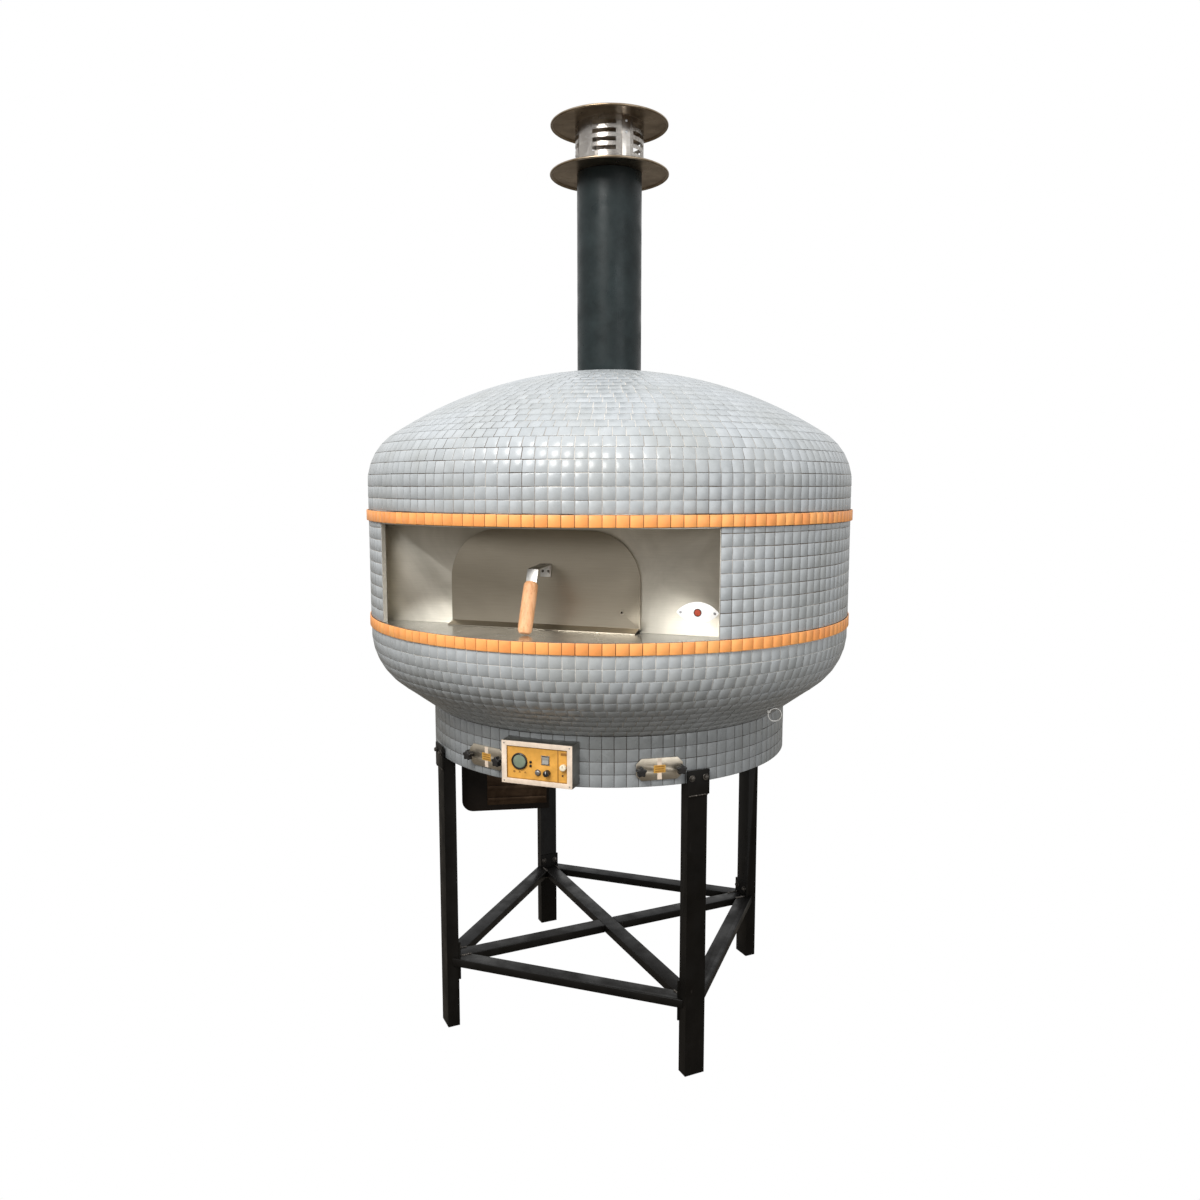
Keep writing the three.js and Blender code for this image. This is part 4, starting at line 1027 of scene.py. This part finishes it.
def build_controls():
    refine("control_box", M["box"], 0.0007, 2, slot="mouth_steel")
    refine("control_face", M["amber"], 0.0003, 1, slot="face_orange")
    half_w = (high("control_box", X) - low("control_box", X)) / 2
    half_h = 0.0475
    build_face_frame(half_w, half_h)
    build_display()
    for name, dz in (("upper", 0.003), ("lower", -0.0055)):
        node = f"display_button_{name}"
        piece = face_disc(node + "_cap", -0.015, dz, 0.0027, 0.0105, "black_plastic", high(node, Y), body=node, count=24)
        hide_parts(node)
    start = face_disc("start_button_cap", 0.002, -0.019, 0.0055, 0.015, "machined", high("start_button", Y),
                      0.0012, "start_button", "machined_steel")
    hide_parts("start_button")
    face_disc("start_button_bush", 0.002, -0.019, 0.0072, 0.0006, "bolt", FACE_Y, 0.0002, slot="face_orange")
    build_face_edge(half_w - 0.012, half_h - 0.011)
    build_knob("speed_knob", 0.025, -0.017, 0.012, "black_plastic", "black_plastic")
    build_knob("lamp_knob", 0.0625, -0.001, 0.009, "cream", "cream_plastic")
    build_rocker()
    face_patch("divider", 0.049, 0, 0.0022, 0.073, 0.0005, "amber_dark")
    face_patch("strip_label", 0.065, 0.027, 0.019, 0.006, 0.0003, "amber_dark")
    for i, dx in enumerate((-0.054, -0.041, -0.028)):
        mark = [(0, 0.003), (-0.003, -0.002), (0.003, -0.002)] if i else lens(0.003, 0.0025, 8)
        prism(f"face_mark_{i}", mark, 0.0003, M["amber_dark"], face_place(dx, -0.021), slot="face_orange")
    face_disc("strip_lamp", 0.060, -0.020, 0.0022, 0.0015, "print", FACE_Y, 0.0005, slot="face_orange", count=20)


def build_face_edge(half_w, half_h):
    """A dark printed line just inside the frame."""
    inset, wide = 0.0012, 0.0011
    w, h = half_w - inset, half_h - inset
    for i, (dx, dz, size_x, size_z) in enumerate(((0, h, 2 * w, wide), (0, -h, 2 * w, wide),
                                                  (w, 0, wide, 2 * h), (-w, 0, wide, 2 * h))):
        face_patch(f"face_edge_{i}", dx, dz, size_x, size_z, 0.00025, "amber_dark", edge=0.00005)


def build_face_frame(half_w, half_h):
    """The cream frame that the printed face shows through, with a screw at each corner."""
    outer = [(-half_w, -half_h), (half_w, -half_h), (half_w, half_h), (-half_w, half_h)]
    end, side = 0.012, 0.011
    inner = [(-half_w + end, -half_h + side), (half_w - end, -half_h + side),
             (half_w - end, half_h - side), (-half_w + end, half_h - side)]
    bm = bmesh.new()
    loops = []
    for y in (0.0, -0.0009):
        loops.append([bm.verts.new((x, y, z)) for x, z in outer])
        loops.append([bm.verts.new((x, y, z)) for x, z in inner])
    ob, ib, of, inf = loops
    for k in range(4):
        q = (k + 1) % 4
        bm.faces.new((ob[k], ob[q], ib[q], ib[k]))
        bm.faces.new((of[k], inf[k], inf[q], of[q]))
        bm.faces.new((ob[k], of[k], of[q], ob[q]))
        bm.faces.new((ib[k], ib[q], inf[q], inf[k]))
    bmesh.ops.recalc_face_normals(bm, faces=bm.faces)
    ease(bm, 0.0003, 2)
    bmesh.ops.transform(bm, matrix=face_place(0, 0, CONTROL_FRONT), verts=bm.verts)
    from_bmesh("control_frame", bm, M["frame"], slot="face_orange")
    screws = []
    for sx in (-1, 1):
        for sz in (-1, 1):
            screws += screw_bm(face_place(sx * (half_w - 0.006), sz * (half_h - 0.0055), CONTROL_FRONT - 0.0009), 0.0017, 0.0007)
    group("frame_screws", screws, M["machined"], slot="machined_steel")


def build_display():
    front = 0.004
    dx, dz = -0.041, 0.003
    r = 0.0185
    bezel = [(0.0148, 0.0), (r, 0.0), (r, front - 0.001), (r - 0.0012, front), (0.0158, front), (0.0148, front - 0.0016)]
    at = face_place(dx, dz, FACE_Y - 0.0003).translation
    piece = turned("display_bezel", bezel, M["black_plastic"], 64, at, FACING_FRONT, slot="display_glass")
    glass = turned("display_window", rounded_rod(0.0147, 0.0022, 0.0005), M["display"], 64, at, FACING_FRONT,
                   slot="display_glass")
    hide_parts("round_display")
    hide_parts("round_display")


def build_knob(node, dx, dz, depth, material, slot):
    """A fluted knob with a pointer line, on its shaft and nut."""
    radius = (high(node, X) - low(node, X)) / 2
    back = FACE_Y - 0.001
    flutes = 18
    outline = []
    for i in range(flutes * 4):
        a = TAU * i / (flutes * 4)
        wave = 0.00035 * (1 + math.cos(flutes * a))
        outline.append(((radius - wave) * math.sin(a), (radius - wave) * math.cos(a)))
    bm = prism_bm(outline, depth)
    rim = [e for e in bm.edges if all(abs(v.co.y + depth) < 1e-6 for v in e.verts)]
    bmesh.ops.bevel(bm, geom=rim, offset=0.001, segments=3, profile=0.5, affect="EDGES", clamp_overlap=True)
    bmesh.ops.transform(bm, matrix=face_place(dx, dz, back), verts=bm.verts)
    cap = from_bmesh(node + "_cap", bm, M[material], node, slot)
    shaft = face_disc(node + "_shaft", dx, dz, 0.003, 0.0145, "machined", FACE_Y + 0.012, 0.0003, node, "machined_steel", 24)
    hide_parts(node)
    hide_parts(node)
    line_z = dz + radius * 0.5
    face_patch(node + "_pointer", dx, line_z, 0.0011, radius * 0.75, 0.0004, "white" if material != "cream" else "print",
               back - depth + 0.0002, 0.00005, slot, node)
    face_disc(node + "_nut", dx, dz, radius * 0.72, 0.0008, "machined", FACE_Y, 0.0002, slot="machined_steel")


def build_rocker():
    refine("rocker_switch", M["grey_plastic"], 0.0005, 2, "rocker_switch", slot="black_plastic")
    dx, dz = 0.020, 0.010
    w, h, wall = 0.0085, 0.0095, 0.0014
    bars = []
    for cx, cz, sx, sz in ((0, h, 2 * w + wall * 2, wall), (0, -h, 2 * w + wall * 2, wall),
                           (w, 0, wall, 2 * h), (-w, 0, wall, 2 * h)):
        bar = rounded_box_bm((sx, 0.0016, sz), 0.0003)
        bmesh.ops.transform(bar, matrix=face_place(dx + cx, dz + cz, FACE_Y - 0.0008), verts=bar.verts)
        bars.append(bar)
    group("rocker_bezel", bars, M["machined"], slot="machined_steel")


# ---- Access covers ------------------------------------------------------------------------
def build_covers():
    for side, azimuth in COVER_AZIMUTH.items():
        body = f"cover_{side}"
        z = middle(body).z
        refine(body, M["cover"], 0.0006, 2, body, slot="cover_steel")
        turn = Matrix.Rotation(azimuth, 4, "Z")
        front = -SKIRT_R - 0.0006 - 0.003
        strip = [(-0.005, -0.0235), (0.005, -0.0235), (0.005, 0.0235), (-0.005, 0.0235)]
        prism(f"{body}_strip", strip, 0.00015, M["frame"], turn @ Matrix.Translation((0, front, z)),
              body=body, slot="cover_steel")
        label = [(-0.0135, -0.0085), (0.0135, -0.0085), (0.0135, 0.0085), (-0.0135, 0.0085)]
        prism(f"{body}_label", label, 0.0004, M["yellow"], turn @ Matrix.Translation((0, front, z)),
              body=body, slot="cover_steel")
        for row in (-1, 0, 1):
            bar = [(-0.0105, -0.0011), (0.0105, -0.0011), (0.0105, 0.0011), (-0.0105, 0.0011)]
            prism(f"{body}_bar_{row + 1}", bar, 0.0002, M["amber_dark"],
                  turn @ Matrix.Translation((0, front - 0.0004, z + 0.0052 * row)), body=body, slot="cover_steel")
        for end, x in (("left", -KNOB_SPACING), ("right", KNOB_SPACING)):
            build_star(side, end, x, z, turn, front)


def build_star(side, end, x, z, turn, front):
    node = f"star_knob_{side}_{end}"
    lobes, steps = 5, 60
    outline = []
    for i in range(steps):
        a = TAU * i / steps
        radius = 0.0102 + 0.0018 * math.cos(lobes * a)
        outline.append((radius * math.sin(a), radius * math.cos(a)))
    star = prism_bm(outline, 0.013)
    ease(star, 0.0018, 4, 50)
    bmesh.ops.transform(star, matrix=turn @ Matrix.Translation((x, front - 0.0073, z)), verts=star.verts)
    piece = from_bmesh(node + "_head", star, M["black_plastic"], node, "black_plastic")
    neck = turned(node + "_neck", rounded_rod(0.006, 0.008, 0.0006), M["black_plastic"], 32,
                  turn @ Vector((x, front - 0.0003, z)), turn @ FACING_FRONT, body=node, slot="black_plastic")
    stud_len = 0.0047
    stud = turned(node + "_stud", rounded_rod(0.004, stud_len, 0.0005), M["machined"], 24,
                  turn @ Vector((x, front - 0.0003 + stud_len, z)), turn @ FACING_FRONT, body=node, slot="machined_steel")
    for part in (piece, neck, stud):
        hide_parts(node)


# ---- Under the skirt and inside -----------------------------------------------------------
def build_drive_box():
    """The box under the skirt, with a heat-browned panel and two bars on the side seen from the front."""
    refine("drive_box", M["drive"], 0.0014, 3, slot="drive_black")
    turn = Matrix.Rotation(DRIVE_AZIMUTH, 4, "Z")
    side = 0.075
    parts = []
    for y, z, length, height, proud in ((-0.247, 0.606, 0.150, 0.130, 0.0012), (-0.247, 0.585, 0.146, 0.012, 0.004),
                                        (-0.247, 0.556, 0.146, 0.008, 0.004)):
        bar = rounded_box_bm((proud, length, height), 0.0004)
        bmesh.ops.transform(bar, matrix=turn @ Matrix.Translation((side + proud / 2, y, z)), verts=bar.verts)
        parts.append(bar)
    group("drive_box_side", parts, M["rust"], slot="drive_black")


def build_tie():
    node = "tie_loop"
    centre = middle(node)
    facing = Matrix.Rotation(math.radians(25), 4, "Z") @ FACING_FRONT
    points, faces = [], []
    around, tube = 48, 10
    for i in range(around):
        a = TAU * i / around
        ring = 0.015 * (1 + 0.03 * math.cos(2 * a))
        for k in range(tube):
            t = TAU * k / tube
            p = Vector(((ring + 0.0013 * math.cos(t)) * math.cos(a), (ring + 0.0013 * math.cos(t)) * math.sin(a),
                        0.0022 * math.sin(t)))
            points.append(facing @ p + centre)
    for i in range(around):
        for k in range(tube):
            a, b = i * tube, ((i + 1) % around) * tube
            q = (k + 1) % tube
            faces.append((a + k, b + k, b + q, a + q))
    strap = make("tie_strap", points, faces, M["tie"])
    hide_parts(node)
    head = rounded_box_bm((0.007, 0.006, 0.005), 0.0006)
    bmesh.ops.translate(head, verts=head.verts, vec=centre + facing @ Vector((-0.0135, 0.008, 0)))
    from_bmesh("tie_head", head, M["tie"], slot="cream_plastic")
    hook = bead(centre + Vector((-0.016, -0.004, 0.010)), centre + Vector((0.0, 0.0, 0.0162)), 0.0014, 5)
    group("tie_hook", hook, M["bolt"], slot="black_paint", sharp=80)


def dress_inside():
    for node, key in (("base_floor", "black"), ("deck_plate", "black"), ("hearth_ring", "refractory"),
                      ("vault", "refractory"), ("insulation", "wool"), ("hearth_stone", "refractory"),
                      ("hearth_carrier", "machined"), ("drive_shaft", "machined"), ("bearing_housing", "machined"),
                      ("thrust_bearing", "machined"), ("drive_gear", "machined"), ("pinion", "machined"),
                      ("gearmotor", "drive")):
        mesh = NODES[node].data
        mesh.materials.clear()
        mesh.materials.append(M[key])


# ---- Stage --------------------------------------------------------------------------------
def build_stage():
    """A plain white backdrop; the light is a pale sky over brown ground."""
    scene = bpy.context.scene
    world = bpy.data.worlds.new("studio")
    world.use_nodes = True
    tree = world.node_tree
    background = tree.nodes["Background"]
    coords = tree.nodes.new("ShaderNodeTexCoord")
    split = tree.nodes.new("ShaderNodeSeparateXYZ")
    span = tree.nodes.new("ShaderNodeMapRange")
    span.inputs["From Min"].default_value = -1.0
    ramp = tree.nodes.new("ShaderNodeValToRGB")
    tree.links.new(coords.outputs["Generated"], split.inputs[0])
    tree.links.new(split.outputs["Z"], span.inputs["Value"])
    tree.links.new(span.outputs["Result"], ramp.inputs["Fac"])
    stops = ramp.color_ramp.elements
    while len(stops) < 5:
        stops.new(0.5)
    for stop, (position, colour) in zip(stops, ((0.10, (0.085, 0.07, 0.055)), (0.44, (0.27, 0.245, 0.21)),
                                                (0.52, (0.66, 0.655, 0.64)), (0.66, (0.95, 0.95, 0.95)),
                                                (1.0, (0.95, 0.98, 1.02)))):
        stop.position = position
        stop.color = (*colour, 1)
    seen = tree.nodes.new("ShaderNodeLightPath")
    choose = tree.nodes.new("ShaderNodeMix")
    choose.data_type = "RGBA"
    choose.inputs[7].default_value = (1, 1, 1, 1)
    tree.links.new(seen.outputs["Is Camera Ray"], choose.inputs[0])
    tree.links.new(ramp.outputs["Color"], choose.inputs[6])
    tree.links.new(choose.outputs[2], background.inputs["Color"])
    background.inputs["Strength"].default_value = 1.0
    scene.world = world

    for name, place, size, power, colour in (
            ("key", (-0.3, -3.5, 4.1), 1.8, 190, (1.0, 0.985, 0.96)),
            ("fill", (3.4, -2.2, 2.0), 2.2, 30, (0.97, 0.985, 1.0))):
        light = bpy.data.lights.new(name, "AREA")
        light.energy = power
        light.size = size
        light.color = colour
        lamp = bpy.data.objects.new(name, light)
        lamp.location = place
        lamp.rotation_euler = (Vector((0, 0, 1.1)) - Vector(place)).to_track_quat("-Z", "Y").to_euler()
        scene.collection.objects.link(lamp)

    camera = bpy.data.cameras.new("camera")
    camera.lens = 29.45
    camera.sensor_width = 36
    eye = bpy.data.objects.new("camera", camera)
    eye.location = (0.835, -2.384, 1.343)
    eye.rotation_euler = (math.radians(83.36), 0, math.radians(19.83))
    scene.collection.objects.link(eye)
    scene.camera = eye
    scene.view_settings.view_transform = "Standard"


build_stage()
shuffle = random.Random(7)
build_dome(shuffle)
build_bowl(shuffle)
build_wall()
build_bands()
build_skirt(shuffle)
build_stand()
build_mouth()
build_door()
build_flue()
build_controls()
build_covers()
build_drive_box()
build_tie()
dress_inside()
